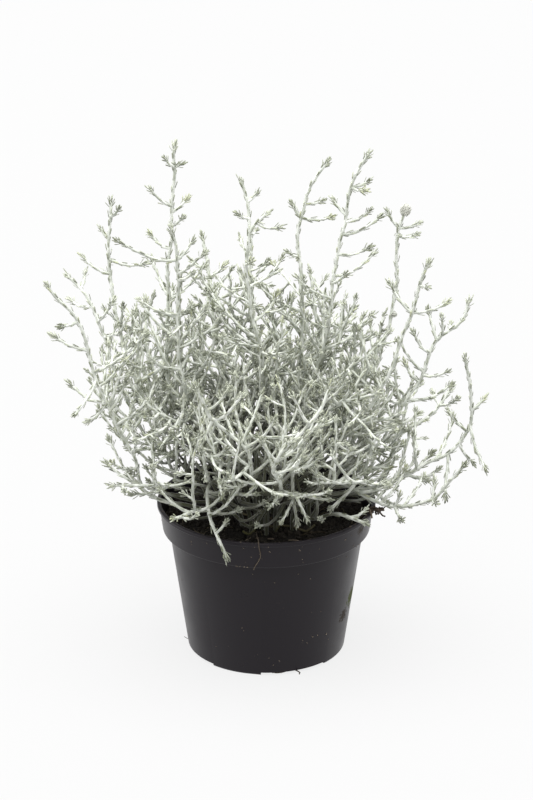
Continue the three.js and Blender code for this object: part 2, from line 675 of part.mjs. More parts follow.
// The skin of one stem: rings of corners along its line, with leaves that stand out of the
// bands named in leafy, and a crown of leaves on its tip
function stemSolid(line, radii, sides, leafy, crown, leaf = STEM_LEAF) {
  const corners = [];
  const faces = [];
  let side = Math.abs(line[1].z - line[0].z) > 0.9 * line[1].distanceTo(line[0]) ? vec(1, 0, 0) : up();
  const directions = line.map((point, i) => {
    const before = line[Math.max(i - 1, 0)];
    const after = line[Math.min(i + 1, line.length - 1)];
    return after.clone().sub(before).normalize();
  });
  line.forEach((point, i) => {
    side = side.clone().addScaledVector(directions[i], -side.dot(directions[i])).normalize();
    const other = directions[i].clone().cross(side);
    for (let k = 0; k < sides; k += 1) {
      const angle = (2 * Math.PI * k) / sides;
      corners.push(point.clone()
        .addScaledVector(side, radii[i] * Math.cos(angle))
        .addScaledVector(other, radii[i] * Math.sin(angle)));
    }
  });
  for (let k = 1; k < sides - 1; k += 1) {
    faces.push([0, k + 1, k]);
  }
  const leafFrom = (foot, along, centre, forward, out) => {
    const middle = vec(0, 0, 0);
    foot.forEach((index) => middle.addScaledVector(corners[index], 1 / foot.length));
    const away = middle.clone().sub(centre);
    away.addScaledVector(along, -away.dot(along)).normalize();
    corners.push(middle.addScaledVector(along, forward).addScaledVector(away, out));
    const apex = corners.length - 1;
    foot.forEach((index, k) => faces.push([index, foot[(k + 1) % foot.length], apex]));
  };
  for (let i = 0; i < line.length - 1; i += 1) {
    for (let k = 0; k < sides; k += 1) {
      const next = (k + 1) % sides;
      const foot = [i * sides + k, i * sides + next, (i + 1) * sides + next, (i + 1) * sides + k];
      if (leafy.has(i)) {
        leafFrom(foot, directions[i], line[i], leaf.forward, leaf.out);
      } else {
        faces.push([foot[0], foot[1], foot[2]], [foot[0], foot[2], foot[3]]);
      }
    }
  }
  const last = line.length - 1;
  const ring = Array.from({ length: sides }, (_, k) => last * sides + k);
  if (crown) {
    corners.push(line[last].clone().addScaledVector(directions[last], CROWN_HEART));
    const centre = corners.length - 1;
    ring.forEach((corner, k) => {
      const foot = [corner, ring[(k + 1) % sides], centre];
      leafFrom(foot, directions[last], line[last], leaf.crownForward, leaf.crownOut);
    });
  } else {
    for (let k = 1; k < sides - 1; k += 1) {
      faces.push([ring[0], ring[k], ring[k + 1]]);
    }
  }
  return solidFrom(corners, faces);
}

// An arm's skin: it swells into a leafy cluster at its tip
function armSolid({ line, radii, leafy }) {
  const last = line.length - 1;
  const swollen = radii.map((radius, i) => (i === last && leafy ? CLUSTER_RADIUS : radius));
  return stemSolid(line, swollen, ARM_SIDES, new Set(leafy ? [last - 1] : []), true);
}

// A main stem's skin: short leafy bands on its upper part, and a crown on its tip
function mainSolid(shoot, bare) {
  const along = distancesAlong(shoot.line);
  const total = along.at(-1);
  const bandsAt = bare ? [] : bandPlaces(total);
  let stations = shoot.line.map((point, i) => {
    return { at: along[i], point, radius: shoot.radii[i], band: false };
  });
  bandsAt.forEach((at, i) => {
    const stemRadius = lerp(shoot.radii[0], MAIN_TIP_RADIUS, at / total);
    const radius = i === 0 ? TIP_BAND_RADIUS : stemRadius;
    stations = stations.filter((station) => {
      return station.at === total || Math.abs(station.at - at - LEAF_BAND / 2) > BAND_ROOM;
    });
    const over = at + LEAF_BAND;
    stations.push({ at, point: pointAlong(shoot.line, along, at).point, radius, band: true });
    stations.push({ at: over, point: pointAlong(shoot.line, along, over).point, radius, band: false });
  });
  stations.sort((a, b) => a.at - b.at);
  const leafy = new Set(stations.flatMap((station, i) => (station.band ? [i] : [])));
  const radii = stations.map((station) => station.radius);
  return stemSolid(stations.map((station) => station.point), radii, MAIN_SIDES, leafy, !bare);
}

function shootSolid(shoot) {
  const bare = shoot.name === HEADED_SHOOT;
  const pieces = [mainSolid(shoot, bare), ...shoot.arms.map(armSolid)];
  return withoutHollows(merged(wasm.Manifold.union(pieces)));
}

// The outer shell of a solid: a hollow that joining stems sealed off is filled
function withoutHollows(solid) {
  return solid.decompose().reduce((best, shell) => (shell.volume() > best.volume() ? shell : best));
}

// Flower head: an egg of overlapping scales, with a plain socket for the bare tip of its shoot
function headSolid(shoot) {
  const [before, tip] = shoot.line.slice(-2);
  const direction = tip.clone().sub(before).normalize();
  const base = tip.clone().addScaledVector(direction, -HEAD_SOCKET_DEPTH + SEAT_GAP);
  const line = HEAD_PROFILE.map(([height]) => base.clone().addScaledVector(direction, height));
  const radii = HEAD_PROFILE.map(([, radius]) => radius);
  const egg = stemSolid(line, radii, HEAD_SIDES, new Set([0, 1, 2, 3]), true, HEAD_SCALE);
  const socketLine = [-HEAD_SOCKET_DEPTH, HEAD_SOCKET_DEPTH].map((height) => {
    return base.clone().addScaledVector(direction, height);
  });
  const socketRadii = socketLine.map(() => HEAD_SOCKET_RADIUS);
  const socket = stemSolid(socketLine, socketRadii, HEAD_SIDES, new Set(), false);
  return merged(egg.subtract(socket));
}

// Grow the bush: the leading main stems first, each time the most leaning ones first, then the
// ones by rule, then the known arms, and last the arms by rule
const planned = Object.entries(LEADING).map(([name, { route }]) => {
  return { name, route: route.map(([x, y, z]) => vec(x, y, z)), rootRadius: MAIN_ROOT_RADIUS };
});
for (let i = 0; i < RULE_SHOOTS; i += 1) {
  planned.push({ name: null, route: ruleRoute(i), rootRadius: INNER_ROOT_RADIUS });
}
planned.forEach((plan, i) => {
  plan.owner = i;
  plan.lean = leanOf(plan.route[0]);
});
planned.sort((a, b) => Number(a.name === null) - Number(b.name === null) || b.lean - a.lean);
const shoots = planned.map(growMain).filter((shoot) => shoot !== null);
shoots.filter((shoot) => shoot.name === null).forEach((shoot, i) => {
  shoot.name = `inner_${String(i + 1).padStart(2, "0")}`;
});
shoots.forEach((shoot) => {
  const arms = LEADING[shoot.name]?.arms ?? [];
  arms.forEach((arm) => growNamedArm(shoot, arm));
});
shoots.forEach((shoot) => {
  growRuleArms(shoot, shoot.name in LEADING ? LEADING_RULE_ARMS : INNER_RULE_ARMS);
});

const POT_PLASTIC = { color: 0x2e2d31, roughness: 0.42, metalness: 0 };
const PEAT = { color: 0x1d1712, roughness: 0.95, metalness: 0 };
const SILVER_WOOL = { color: 0xc3c8bc, roughness: 0.85, metalness: 0 };
const PALE_SCALES = { color: 0xc9c9c2, roughness: 0.8, metalness: 0 };

const bush = new THREE.Group();
bush.add(meshOf("pot", potSolid(), new THREE.MeshStandardMaterial(POT_PLASTIC)));
const bases = shoots.map((shoot) => shoot.base);
bush.add(meshOf("soil", soilSolid(bases), new THREE.MeshStandardMaterial(PEAT)));
shoots.forEach((shoot) => {
  const material = new THREE.MeshStandardMaterial(SILVER_WOOL);
  bush.add(meshOf(`shoot_${shoot.name}`, shootSolid(shoot), material));
});

const headed = shoots.find((shoot) => shoot.name === HEADED_SHOOT);
bush.add(meshOf("flower_head", headSolid(headed), new THREE.MeshStandardMaterial(PALE_SCALES)));

export default bush;
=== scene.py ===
# %% [markdown]
# # A potted cushion bush
# A cushion bush is a silver, wiry shrublet. Its woolly stems branch again and again at wide angles, tiny
# grey-green leaves lie pressed along them, and every tip ends in a tuft of leaves. This one stands in a
# black plastic nursery pot of peat. The pot, the peat and the main stems come packed as solids, the frame.
# The lesson dresses each of them with a finer piece that stays where its solid is. Sizes are in
# millimetres, apart from those of the lamps, and a mesh is written in metres, the frame's own unit.

# %% Load the frame and note its box
import json
import math

import bmesh
import bpy
import numpy as np
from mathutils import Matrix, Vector, noise

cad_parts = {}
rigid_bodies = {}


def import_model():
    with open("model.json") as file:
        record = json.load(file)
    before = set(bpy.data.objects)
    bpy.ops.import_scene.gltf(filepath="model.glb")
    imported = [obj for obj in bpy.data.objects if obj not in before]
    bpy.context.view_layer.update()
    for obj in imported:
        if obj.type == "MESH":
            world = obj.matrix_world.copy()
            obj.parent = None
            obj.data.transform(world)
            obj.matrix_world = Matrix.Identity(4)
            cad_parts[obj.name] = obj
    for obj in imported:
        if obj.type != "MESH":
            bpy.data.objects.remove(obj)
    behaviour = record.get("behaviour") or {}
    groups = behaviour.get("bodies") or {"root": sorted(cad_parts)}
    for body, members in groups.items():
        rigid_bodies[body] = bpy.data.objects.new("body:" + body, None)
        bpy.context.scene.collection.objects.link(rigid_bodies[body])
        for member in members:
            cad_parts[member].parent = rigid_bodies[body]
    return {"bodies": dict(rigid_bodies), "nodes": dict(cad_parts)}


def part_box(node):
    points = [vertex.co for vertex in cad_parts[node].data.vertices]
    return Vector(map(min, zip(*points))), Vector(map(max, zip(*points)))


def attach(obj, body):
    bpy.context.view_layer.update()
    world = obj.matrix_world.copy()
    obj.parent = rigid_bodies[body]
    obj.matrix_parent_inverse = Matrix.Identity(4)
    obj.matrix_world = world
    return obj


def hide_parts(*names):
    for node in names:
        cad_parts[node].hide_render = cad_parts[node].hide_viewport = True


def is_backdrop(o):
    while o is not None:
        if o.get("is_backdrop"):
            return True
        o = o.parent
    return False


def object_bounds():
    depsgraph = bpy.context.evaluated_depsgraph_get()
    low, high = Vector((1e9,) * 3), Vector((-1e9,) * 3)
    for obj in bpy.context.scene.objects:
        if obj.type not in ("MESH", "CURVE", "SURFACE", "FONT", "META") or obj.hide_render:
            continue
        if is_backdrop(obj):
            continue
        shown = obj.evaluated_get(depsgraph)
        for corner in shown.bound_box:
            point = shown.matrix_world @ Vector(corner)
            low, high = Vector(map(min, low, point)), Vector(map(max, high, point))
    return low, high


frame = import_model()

MM = 0.001
BODY = next(iter(frame["bodies"]))
cad_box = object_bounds()
print("nodes in the frame:", len(frame["nodes"]), "on body", BODY)
print("box of the solids in mm:", [[round(x / MM) for x in corner] for corner in cad_box])

# %% [markdown]
# ## Camera, floor and light
# A long lens from a little above the rim keeps upright stems almost parallel. The photograph is high-key:
# a lit white table runs up out of the picture, and only a faint grey shadow lies at the pot's foot. A pure
# white world would grey the black plastic with its mirror image, so the world is dim for everything but
# the camera's own view of it. A soft sun lights the plant from above and a panel from each side.

# %% Camera
CAMERA_PLACE = (0.08, -1512.57, 740.61)
CAMERA_TILT = math.radians(68.49)
LENS = 135
SENSOR = 36
CLIP_M = (0.05, 50)

camera = bpy.data.objects.new("camera", bpy.data.cameras.new("camera"))
bpy.context.scene.collection.objects.link(camera)
bpy.context.scene.camera = camera
camera.location = Vector(CAMERA_PLACE) * MM
camera.rotation_euler = (CAMERA_TILT, 0, 0)
camera.data.lens = LENS
camera.data.sensor_width = SENSOR
camera.data.clip_start, camera.data.clip_end = CLIP_M
print("camera is", round(camera.location.length, 2), "m from the pot")

# %% A soft key light from above and side panels, in metres, each aimed at the middle of the bush
BUSH_MIDDLE = Vector((0, 0, 150)) * MM
KEY = {"from": (-0.06, -0.16, 1.6), "strength": 5.9, "softness": math.radians(62)}
PANELS = {
    "panel_left": {"place": (-1.5, 0.2, 0.6), "size": 1.0, "watts": 9},
    "panel_right": {"place": (1.5, 0.4, 0.6), "size": 0.8, "watts": 5},
}


def add_lamp(name, kind, place_m, **settings):
    """A lamp that looks at the middle of the bush."""
    light = bpy.data.lights.new(name, kind)
    for setting, value in settings.items():
        setattr(light, setting, value)
    lamp = bpy.data.objects.new(name, light)
    lamp.location = place_m
    lamp.rotation_euler = (BUSH_MIDDLE - lamp.location).to_track_quat("-Z", "Y").to_euler()
    bpy.context.scene.collection.objects.link(lamp)


add_lamp("key", "SUN", KEY["from"], energy=KEY["strength"], angle=KEY["softness"])
for name, panel in PANELS.items():
    add_lamp(name, "AREA", panel["place"], shape="SQUARE", size=panel["size"], energy=panel["watts"])

bpy.context.scene.view_settings.view_transform = "Standard"
print("lights: key,", ", ".join(PANELS))

# %% [markdown]
# ## Short forms for meshes and node trees
# A node tree written out in full is mostly wiring. The helper below makes one node a line: it takes the
# node's kind, its inputs as values or as the sockets that feed them, and its settings by name.

# %% Helpers for meshes, objects and node trees
UP = np.array([0.0, 0.0, 1.0])


def unit(vector):
    return vector / np.linalg.norm(vector)


def lerp(a, b, share):
    return (1 - share) * a + share * b


def mesh_from(name, points_mm, faces, edges=()):
    mesh = bpy.data.meshes.new(name)
    mesh.from_pydata([tuple(float(x) * MM for x in point) for point in points_mm], edges, faces)
    return mesh


def place(name, mesh):
    piece = bpy.data.objects.new(name, mesh)
    bpy.context.scene.collection.objects.link(piece)
    return piece


def point_values(mesh, name, values):
    mesh.attributes.new(name, "FLOAT", "POINT").data.foreach_set("value", np.asarray(values, np.float32))


class Wiring:
    """Adds nodes to one tree, one call a node. A socket goes by its number, identifier or name."""

    def __init__(self, tree):
        self.tree = tree

    def __call__(self, kind, inputs=None, **settings):
        node = self.tree.nodes.new(kind)
        for name, value in settings.items():
            setattr(node, name, value)
        by_identifier = {socket.identifier: socket for socket in node.inputs}
        for key, value in (inputs or {}).items():
            self.feed(by_identifier.get(key) or node.inputs[key], value)
        return node

    def feed(self, socket, value):
        """Links a socket to the one that feeds it, or sets its value."""
        if isinstance(value, bpy.types.NodeSocket):
            self.tree.links.new(value, socket)
        else:
            socket.default_value = value

    def math(self, operation, *values):
        return self("ShaderNodeMath", dict(enumerate(values)), operation=operation).outputs[0]


def triangles(mesh):
    return sum(len(face.vertices) - 2 for face in mesh.polygons)


# %% A world that is white to the camera and dim to the plant
WORLD_STRENGTH = 0.56

world = bpy.data.worlds.new("studio")
world.use_nodes = True
bpy.context.scene.world = world
background = world.node_tree.nodes["Background"]
wire = Wiring(world.node_tree)
seen = wire("ShaderNodeLightPath").outputs["Is Camera Ray"]
wire.feed(background.inputs["Color"], (1, 1, 1, 1))
wire.feed(background.inputs["Strength"], wire.math("MAXIMUM", seen, WORLD_STRENGTH))
print("world:", world.name, "with strength", WORLD_STRENGTH)

# %% The table
TABLE_CORNERS = [(-4000, -4000, 0), (4000, -4000, 0), (4000, 8000, 0), (-4000, 8000, 0)]
TABLE = {"Base Color": (0.06, 0.06, 0.06, 1), "Roughness": 0.8, "Specular IOR Level": 0.1,
         "Emission Color": (1, 1, 1, 1), "Emission Strength": 0.812}

floor_mesh = mesh_from("floor", TABLE_CORNERS, [(0, 1, 2, 3)])
floor = place("floor", floor_mesh)
floor_paint = bpy.data.materials.new("white_table")
floor_paint.use_nodes = True
for label, value in TABLE.items():
    floor_paint.node_tree.nodes["Principled BSDF"].inputs[label].default_value = value
floor_mesh.materials.append(floor_paint)
floor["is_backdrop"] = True
print("floor is", [round(side) for side in floor.dimensions[:2]], "m")

# %% [markdown]
# ## Finishes
# Five finishes cover the object: silver wool, pale scales, moist peat, dry litter and black plastic. Wool
# and scales share one felt effect, and peat, litter and plastic share one crumb effect, so each effect is a
# node group that is built once and gets its own sizes in every material.

# %% Helpers for materials and effect groups
def effect(name, inputs, outputs):
    """An effect group with its wiring helper and its input sockets."""
    group = bpy.data.node_groups.new(name, "ShaderNodeTree")
    for label, value in inputs.items():
        kind = "NodeSocketVector" if value is None else "NodeSocketFloat"
        socket = group.interface.new_socket(label, in_out="INPUT", socket_type=kind)
        if value is not None:
            socket.default_value = value
    for label in outputs:
        group.interface.new_socket(label, in_out="OUTPUT", socket_type="NodeSocketFloat")
    wire = Wiring(group)
    return group, wire, wire("NodeGroupInput").outputs


def place_effect(wire, group, **values):
    """An effect placed in a material with that material's own values."""
    node = wire.tree.nodes.new("ShaderNodeGroup")
    node.node_tree = group
    for label, value in values.items():
        wire.feed(node.inputs[label.replace("_", " ")], value)
    return node.outputs


def material(name, **constants):
    """A material with its wiring helper, its shader and the object's own coordinates."""
    paint = bpy.data.materials.new(name)
    paint.use_nodes = True
    wire = Wiring(paint.node_tree)
    shader = paint.node_tree.nodes["Principled BSDF"]
    for label, value in constants.items():
        shader.inputs[label.replace("_", " ")].default_value = value
    return paint, wire, shader, wire("ShaderNodeTexCoord").outputs["Object"]


def fade(wire, value, low, high, to_low=0.0, to_high=1.0):
    """Spreads one range of values over another."""
    ranges = {"Value": value, "From Min": low, "From Max": high, "To Min": to_low, "To Max": to_high}
    return wire("ShaderNodeMapRange", ranges).outputs["Result"]


def blend_colours(wire, share, first, second):
    colours = {"Factor_Float": share, "A_Color": first, "B_Color": second}
    return wire("ShaderNodeMix", colours, data_type="RGBA").outputs[2]


def grain(wire, place_on, scale, detail=2.0, roughness=0.5):
    inputs = {"Vector": place_on, "Scale": scale, "Detail": detail, "Roughness": roughness}
    return wire("ShaderNodeTexNoise", inputs).outputs["Fac"]


def read(wire, name):
    return wire("ShaderNodeAttribute", attribute_name=name).outputs["Fac"]


def dress(wire, shader, height, bump, **sources):
    """Gives a shader its varying inputs, and a bump from a height, its depth in metres and its strength."""
    for label, value in sources.items():
        wire.feed(shader.inputs[label.replace("_", " ")], value)
    made = wire("ShaderNodeBump", {"Height": height, "Distance": bump[0], "Strength": bump[1]})
    wire.feed(shader.inputs["Normal"], made.outputs["Normal"])


# %% Felt effect: fine fibres with soft clumps among them
CLUMPS = {"detail": 3.0, "roughness": 0.6, "edges": (0.38, 0.64), "height": 1.5}

felt, wire, given = effect("felt", {"Place": None, "Fibre scale": 900.0, "Clump scale": 160.0},
                           ["Clumps", "Height"])
fibres = grain(wire, given["Place"], given["Fibre scale"])
clumps = grain(wire, given["Place"], given["Clump scale"], CLUMPS["detail"], CLUMPS["roughness"])
height = wire.math("ADD", fibres, wire.math("MULTIPLY", clumps, CLUMPS["height"]))
wire("NodeGroupOutput", {"Clumps": fade(wire, clumps, *CLUMPS["edges"]), "Height": height})
print("effect:", felt.name, "with", len(felt.nodes), "nodes")

# %% Crumb effect: grains that gather in patches, the more the higher the amount is
GRAINS = {"detail": 3.0, "roughness": 0.65, "patches": 0.6, "bare": 1.25, "amount": 0.7, "edge": 0.12}

crumbs, wire, given = effect(
    "crumbs", {"Place": None, "Grain scale": 900.0, "Patch scale": 40.0, "Amount": 0.5}, ["Mask", "Height"])
grains = grain(wire, given["Place"], given["Grain scale"], GRAINS["detail"], GRAINS["roughness"])
patches = grain(wire, given["Place"], given["Patch scale"], GRAINS["detail"])
level = wire.math("ADD", grains, wire.math("MULTIPLY", patches, GRAINS["patches"]))
edge = wire.math("SUBTRACT", GRAINS["bare"], wire.math("MULTIPLY", given["Amount"], GRAINS["amount"]))
mask = fade(wire, level, edge, wire.math("ADD", edge, GRAINS["edge"]))
wire("NodeGroupOutput", {"Mask": mask, "Height": grains})
print("effect:", crumbs.name, "with", len(crumbs.nodes), "nodes")

# %% Silver wool: white felt on the stems, grey-green leaves, and olive old wood near the peat that also paints shade low and deep in the bush
WOOL = (0.73, 0.75, 0.70, 1)
WOOL_SHADE = (0.45, 0.475, 0.41, 1)
LEAF_GREEN = (0.12, 0.136, 0.073, 1)
LEAF_SILVER = (0.64, 0.67, 0.555, 1)
LEAF_YELLOW = (0.34, 0.36, 0.18, 1)
OLD_WOOD_AND_SHADE = (0.044, 0.046, 0.02, 1)
SILVER_PARTS = {"tint": 0.72, "clumps": 0.28}
YELLOW_TINTS = (0.94, 0.96)
YELLOW_SHARE = 0.6
OLD_AND_SHADE_AGES = (0.2, 0.9)
OLD_AND_SHADE_SHARE = 0.96
WOOL_BUMP = (0.12 * MM, 0.6)

silver_wool, wire, shader, place_on = material(
    "silver_felt", Roughness=0.92, Specular_IOR_Level=0.25, Sheen_Weight=0.35, Sheen_Roughness=0.5)
wool = place_effect(wire, felt, Place=place_on)
stem_colour = blend_colours(wire, wool["Clumps"], WOOL_SHADE, WOOL)
leaf_share = wire.math("ADD", wire.math("MULTIPLY", read(wire, "tint"), SILVER_PARTS["tint"]),
                       wire.math("MULTIPLY", wool["Clumps"], SILVER_PARTS["clumps"]))
silver_leaf = blend_colours(wire, leaf_share, LEAF_GREEN, LEAF_SILVER)
yellowed = fade(wire, read(wire, "tint"), *YELLOW_TINTS, 0.0, YELLOW_SHARE)
leaf_colour = blend_colours(wire, yellowed, silver_leaf, LEAF_YELLOW)
fresh = blend_colours(wire, read(wire, "leafness"), stem_colour, leaf_colour)
# Dark olive stands for old wood and also for painted shade: it darkens low stems and stems deep in the
# cushion, where shade would fall.
old_and_shade_share = wire.math("MULTIPLY", fade(wire, read(wire, "age"), *OLD_AND_SHADE_AGES), OLD_AND_SHADE_SHARE)
dress(wire, shader, wool["Height"], WOOL_BUMP, Base_Color=blend_colours(wire, old_and_shade_share, fresh, OLD_WOOD_AND_SHADE))
print("silver wool has", len(silver_wool.node_tree.nodes), "nodes")

# %% Pale scales of the flower head, green-grey at their feet
SCALE_GREY = (0.30, 0.31, 0.27, 1)
SCALE_PALE = (0.74, 0.74, 0.67, 1)
SCALE_EDGES = (0.2, 1.0)
SCALE_CLUMPS = 0.25
SCALE_BUMP = (0.08 * MM, 0.5)

pale_scales, wire, shader, place_on = material("dry_bracts", Roughness=0.85, Sheen_Weight=0.25)
down = place_effect(wire, felt, Place=place_on, Fibre_scale=1500.0, Clump_scale=500.0)
pale_share = wire.math("ADD", read(wire, "along"), wire.math("MULTIPLY", down["Clumps"], SCALE_CLUMPS))
scale_colour = blend_colours(wire, fade(wire, pale_share, *SCALE_EDGES), SCALE_GREY, SCALE_PALE)
dress(wire, shader, down["Height"], SCALE_BUMP, Base_Color=scale_colour)
print("pale scales have", len(pale_scales.node_tree.nodes), "nodes")

# %% Moist peat with lighter dry crumbs
PEAT_DARK = (0.008, 0.0065, 0.005, 1)
PEAT_BROWN = (0.034, 0.029, 0.023, 1)
BROWN_PARTS = {"mask": 0.5, "tint": 0.55}
PEAT_BUMP = (0.7 * MM, 1.0)

peat, wire, shader, place_on = material("moist_peat", Roughness=0.93, Specular_IOR_Level=0.2)
rough = place_effect(wire, crumbs, Place=place_on, Grain_scale=700.0, Patch_scale=60.0, Amount=0.55)
brown_share = wire.math("ADD", wire.math("MULTIPLY", rough["Mask"], BROWN_PARTS["mask"]),
                        wire.math("MULTIPLY", read(wire, "tint"), BROWN_PARTS["tint"]))
peat_colour = blend_colours(wire, brown_share, PEAT_DARK, PEAT_BROWN)
dress(wire, shader, rough["Height"], PEAT_BUMP, Base_Color=peat_colour)
print("peat has", len(peat.node_tree.nodes), "nodes")

# %% Dry litter: dark roots, tan crumbs and olive dead stems
LITTER_DARK = (0.022, 0.014, 0.009, 1)
LITTER_TAN = (0.23, 0.19, 0.145, 1)
LITTER_OLIVE = (0.085, 0.082, 0.035, 1)
LITTER_CRUMBS = 0.15
LITTER_BUMP = (0.1 * MM, 0.6)

dry_litter, wire, shader, place_on = material("dry_litter", Roughness=0.9, Specular_IOR_Level=0.2)
worn = place_effect(wire, crumbs, Place=place_on, Grain_scale=1400.0, Patch_scale=200.0, Amount=0.6)
litter_share = wire.math("ADD", read(wire, "tint"), wire.math("MULTIPLY", worn["Mask"], LITTER_CRUMBS))
litter_colour = blend_colours(wire, litter_share, LITTER_DARK, LITTER_TAN)
dress(wire, shader, worn["Height"], LITTER_BUMP,
      Base_Color=blend_colours(wire, read(wire, "olive"), litter_colour, LITTER_OLIVE))
print("litter has", len(dry_litter.node_tree.nodes), "nodes")

# %% Black pot plastic with a little peat dust, a moss spot and two smears
PLASTIC = (0.0118, 0.0096, 0.0124, 1)
DUST = (0.13, 0.105, 0.08, 1)
MOSS = (0.06, 0.075, 0.015, 1)
SMEAR = (0.04, 0.032, 0.024, 1)
STAINS = (
    {"place": (46.2, -12.6, 33.8), "reach": 6.4, "colour": MOSS},
    {"place": (41.8, -20.5, 25.4), "reach": 4.4, "colour": SMEAR},
    {"place": (50.9, -28.1, 79.7), "reach": 3.6, "colour": SMEAR},
)
STAIN_GRAIN = (560.0, 5.0, 0.75)
STAIN_EDGES = (0.38, 0.62)
STAIN_RAGGED = 5.5
STAIN_FADE = (2.2, 0.4)
STAIN_COVER = 0.85
STAIN_DULL = 0.6
DUST_COVER = 0.5
DUST_DULL = 0.4
HAZE_GRAIN = (45.0, 4.0, 0.6)
HAZE_EDGES = (0.3, 0.7)
HAZE_ROUGHNESS = (0.27, 0.38)
PLASTIC_GRAIN = (380.0, 3.0)
PLASTIC_BUMP = (0.05 * MM, 0.25)

pot_plastic, wire, shader, place_on = material("black_plastic", Specular_IOR_Level=0.18)
dust = place_effect(wire, crumbs, Place=place_on, Grain_scale=1100.0, Patch_scale=35.0, Amount=0.28)
plastic_colour = blend_colours(wire, wire.math("MULTIPLY", dust["Mask"], DUST_COVER), PLASTIC, DUST)
dull = wire.math("MULTIPLY", dust["Mask"], DUST_DULL)
ragged = fade(wire, grain(wire, place_on, *STAIN_GRAIN), *STAIN_EDGES)
ragged = wire.math("MULTIPLY", ragged, STAIN_RAGGED * MM)
for stain in STAINS:
    middle = tuple(x * MM for x in stain["place"])
    gap = wire("ShaderNodeVectorMath", {0: place_on, 1: middle}, operation="DISTANCE").outputs["Value"]
    limits = [(stain["reach"] + more) * MM for more in STAIN_FADE]
    covered = fade(wire, wire.math("ADD", gap, ragged), *limits, 0.0, STAIN_COVER)
    plastic_colour = blend_colours(wire, covered, plastic_colour, stain["colour"])
    dull = wire.math("ADD", dull, wire.math("MULTIPLY", covered, STAIN_DULL))
haze = fade(wire, grain(wire, place_on, *HAZE_GRAIN), *HAZE_EDGES, *HAZE_ROUGHNESS)
dress(wire, shader, grain(wire, place_on, *PLASTIC_GRAIN), PLASTIC_BUMP, Base_Color=plastic_colour,
      Roughness=wire.math("ADD", haze, dull))
finishes = (silver_wool, pale_scales, peat, dry_litter, pot_plastic)
print("materials:", ", ".join(paint.name for paint in finishes))

# %% [markdown]
# ## The growth rule
# The frame's stems grew by a seeded rule, so the same rule, run again here, gives their routes without
# reading a single vertex. A shoot leaves the peat at a free place of a sunflower pattern, climbs along its
# route, and moves aside by growing steps until it clears its neighbours. Side arms then start below their
# tips. Every draw comes from a small random stream that is begun afresh for each shoot.

# %% Sizes of the rule, in millimetres
RIM_RADIUS = 60
POT_HEIGHT = 86
WALL = 1.2
COLLAR_FOOT_RADIUS = 57
SOIL_TOP = 76
SOIL_BUMP = 1.1
SEAT_GAP = 0.3
STEM_DEPTH = 12
GOLDEN_ANGLE = math.radians(137.508)
GOLDEN_SHARE = 0.618
BASE_SPREAD = 4.6
PLACE_REACH = 19
PLACE_CHOICES = 9
SHIFT_TRIES = 40
SHIFT_STEP = 0.35
SHIFT_RISE = 0.5
COLLAR_RISE = 4
RULE_SHOOTS = 16
STATION_STEP = 20
MAIN_ROOT_RADIUS = 1.5
INNER_ROOT_RADIUS = 1.35
MAIN_TIP_RADIUS = 0.9
FIRST_SEED = 501
FIRST_ROUTE_SEED = 9001
SEED_STEP = 31
ARM_ROOT_RADIUS = 0.95
ARM_TIP_RADIUS = 0.8
ARM_GIRTH = 0.8
ARM_KNEE = 0.45
SHORT_ARM = 14
NAMED_SLOPE = 0.6
NAMED_DEPTHS = (0, 5, -5, 10, -10, 15, -15, 20, -20)
LEADING_RULE_ARMS = {"count": 5, "start": 0.3, "end": 0.72}
INNER_RULE_ARMS = {"count": 7, "start": 0.3, "end": 0.95}
ARM_TRIES = 16
ARM_SAG = 0.1
CLUSTER_LENGTH = 5
TIP_LENGTH = 2.2
LEAF_REACH = 2.4
CROWN_REACH = 1.9
CROWN_LENGTH = 3.4
BANDS_BELOW_TIP = (4.6, 17, 33)
LEAF_FORWARD = 1.3
LEAF_BAND = 2.4
ARM_WANDER = {"first": 0.6, "more": 0.4}
ARM_LEANS = (48, 80)
ARM_LENGTHS = (52, 14)
ARM_VARIATION = (0.75, 1.2)
ARM_SHRINK = 0.03
ARM_DROOP = 0.1
ARM_LIFT = 0.35
STEM_GAP = 0.5
RIM_CLEARANCE = 0.6
MOUTH_CLEARANCE = 1.0
SKIN_REACH = 1.15
CUSHION_CENTRE = np.array([0.0, 0.0, 92.0])
CUSHION_RADII = np.array([110.0, 102.0, 116.0])
RULE_SECTOR = 1.15
RULE_WANDER = {"turn": 0.2, "lean": 0.8}
RULE_RISES = (0.94, 0.12)
RULE_REACHES = (0.84, 0.95)
RULE_KNEE = {"out": 0.55, "up": 0.6}
HEADED_SHOOT = "bud"
HEAD_REACH = 6.4
HEAD_SOCKET_DEPTH = 1.7

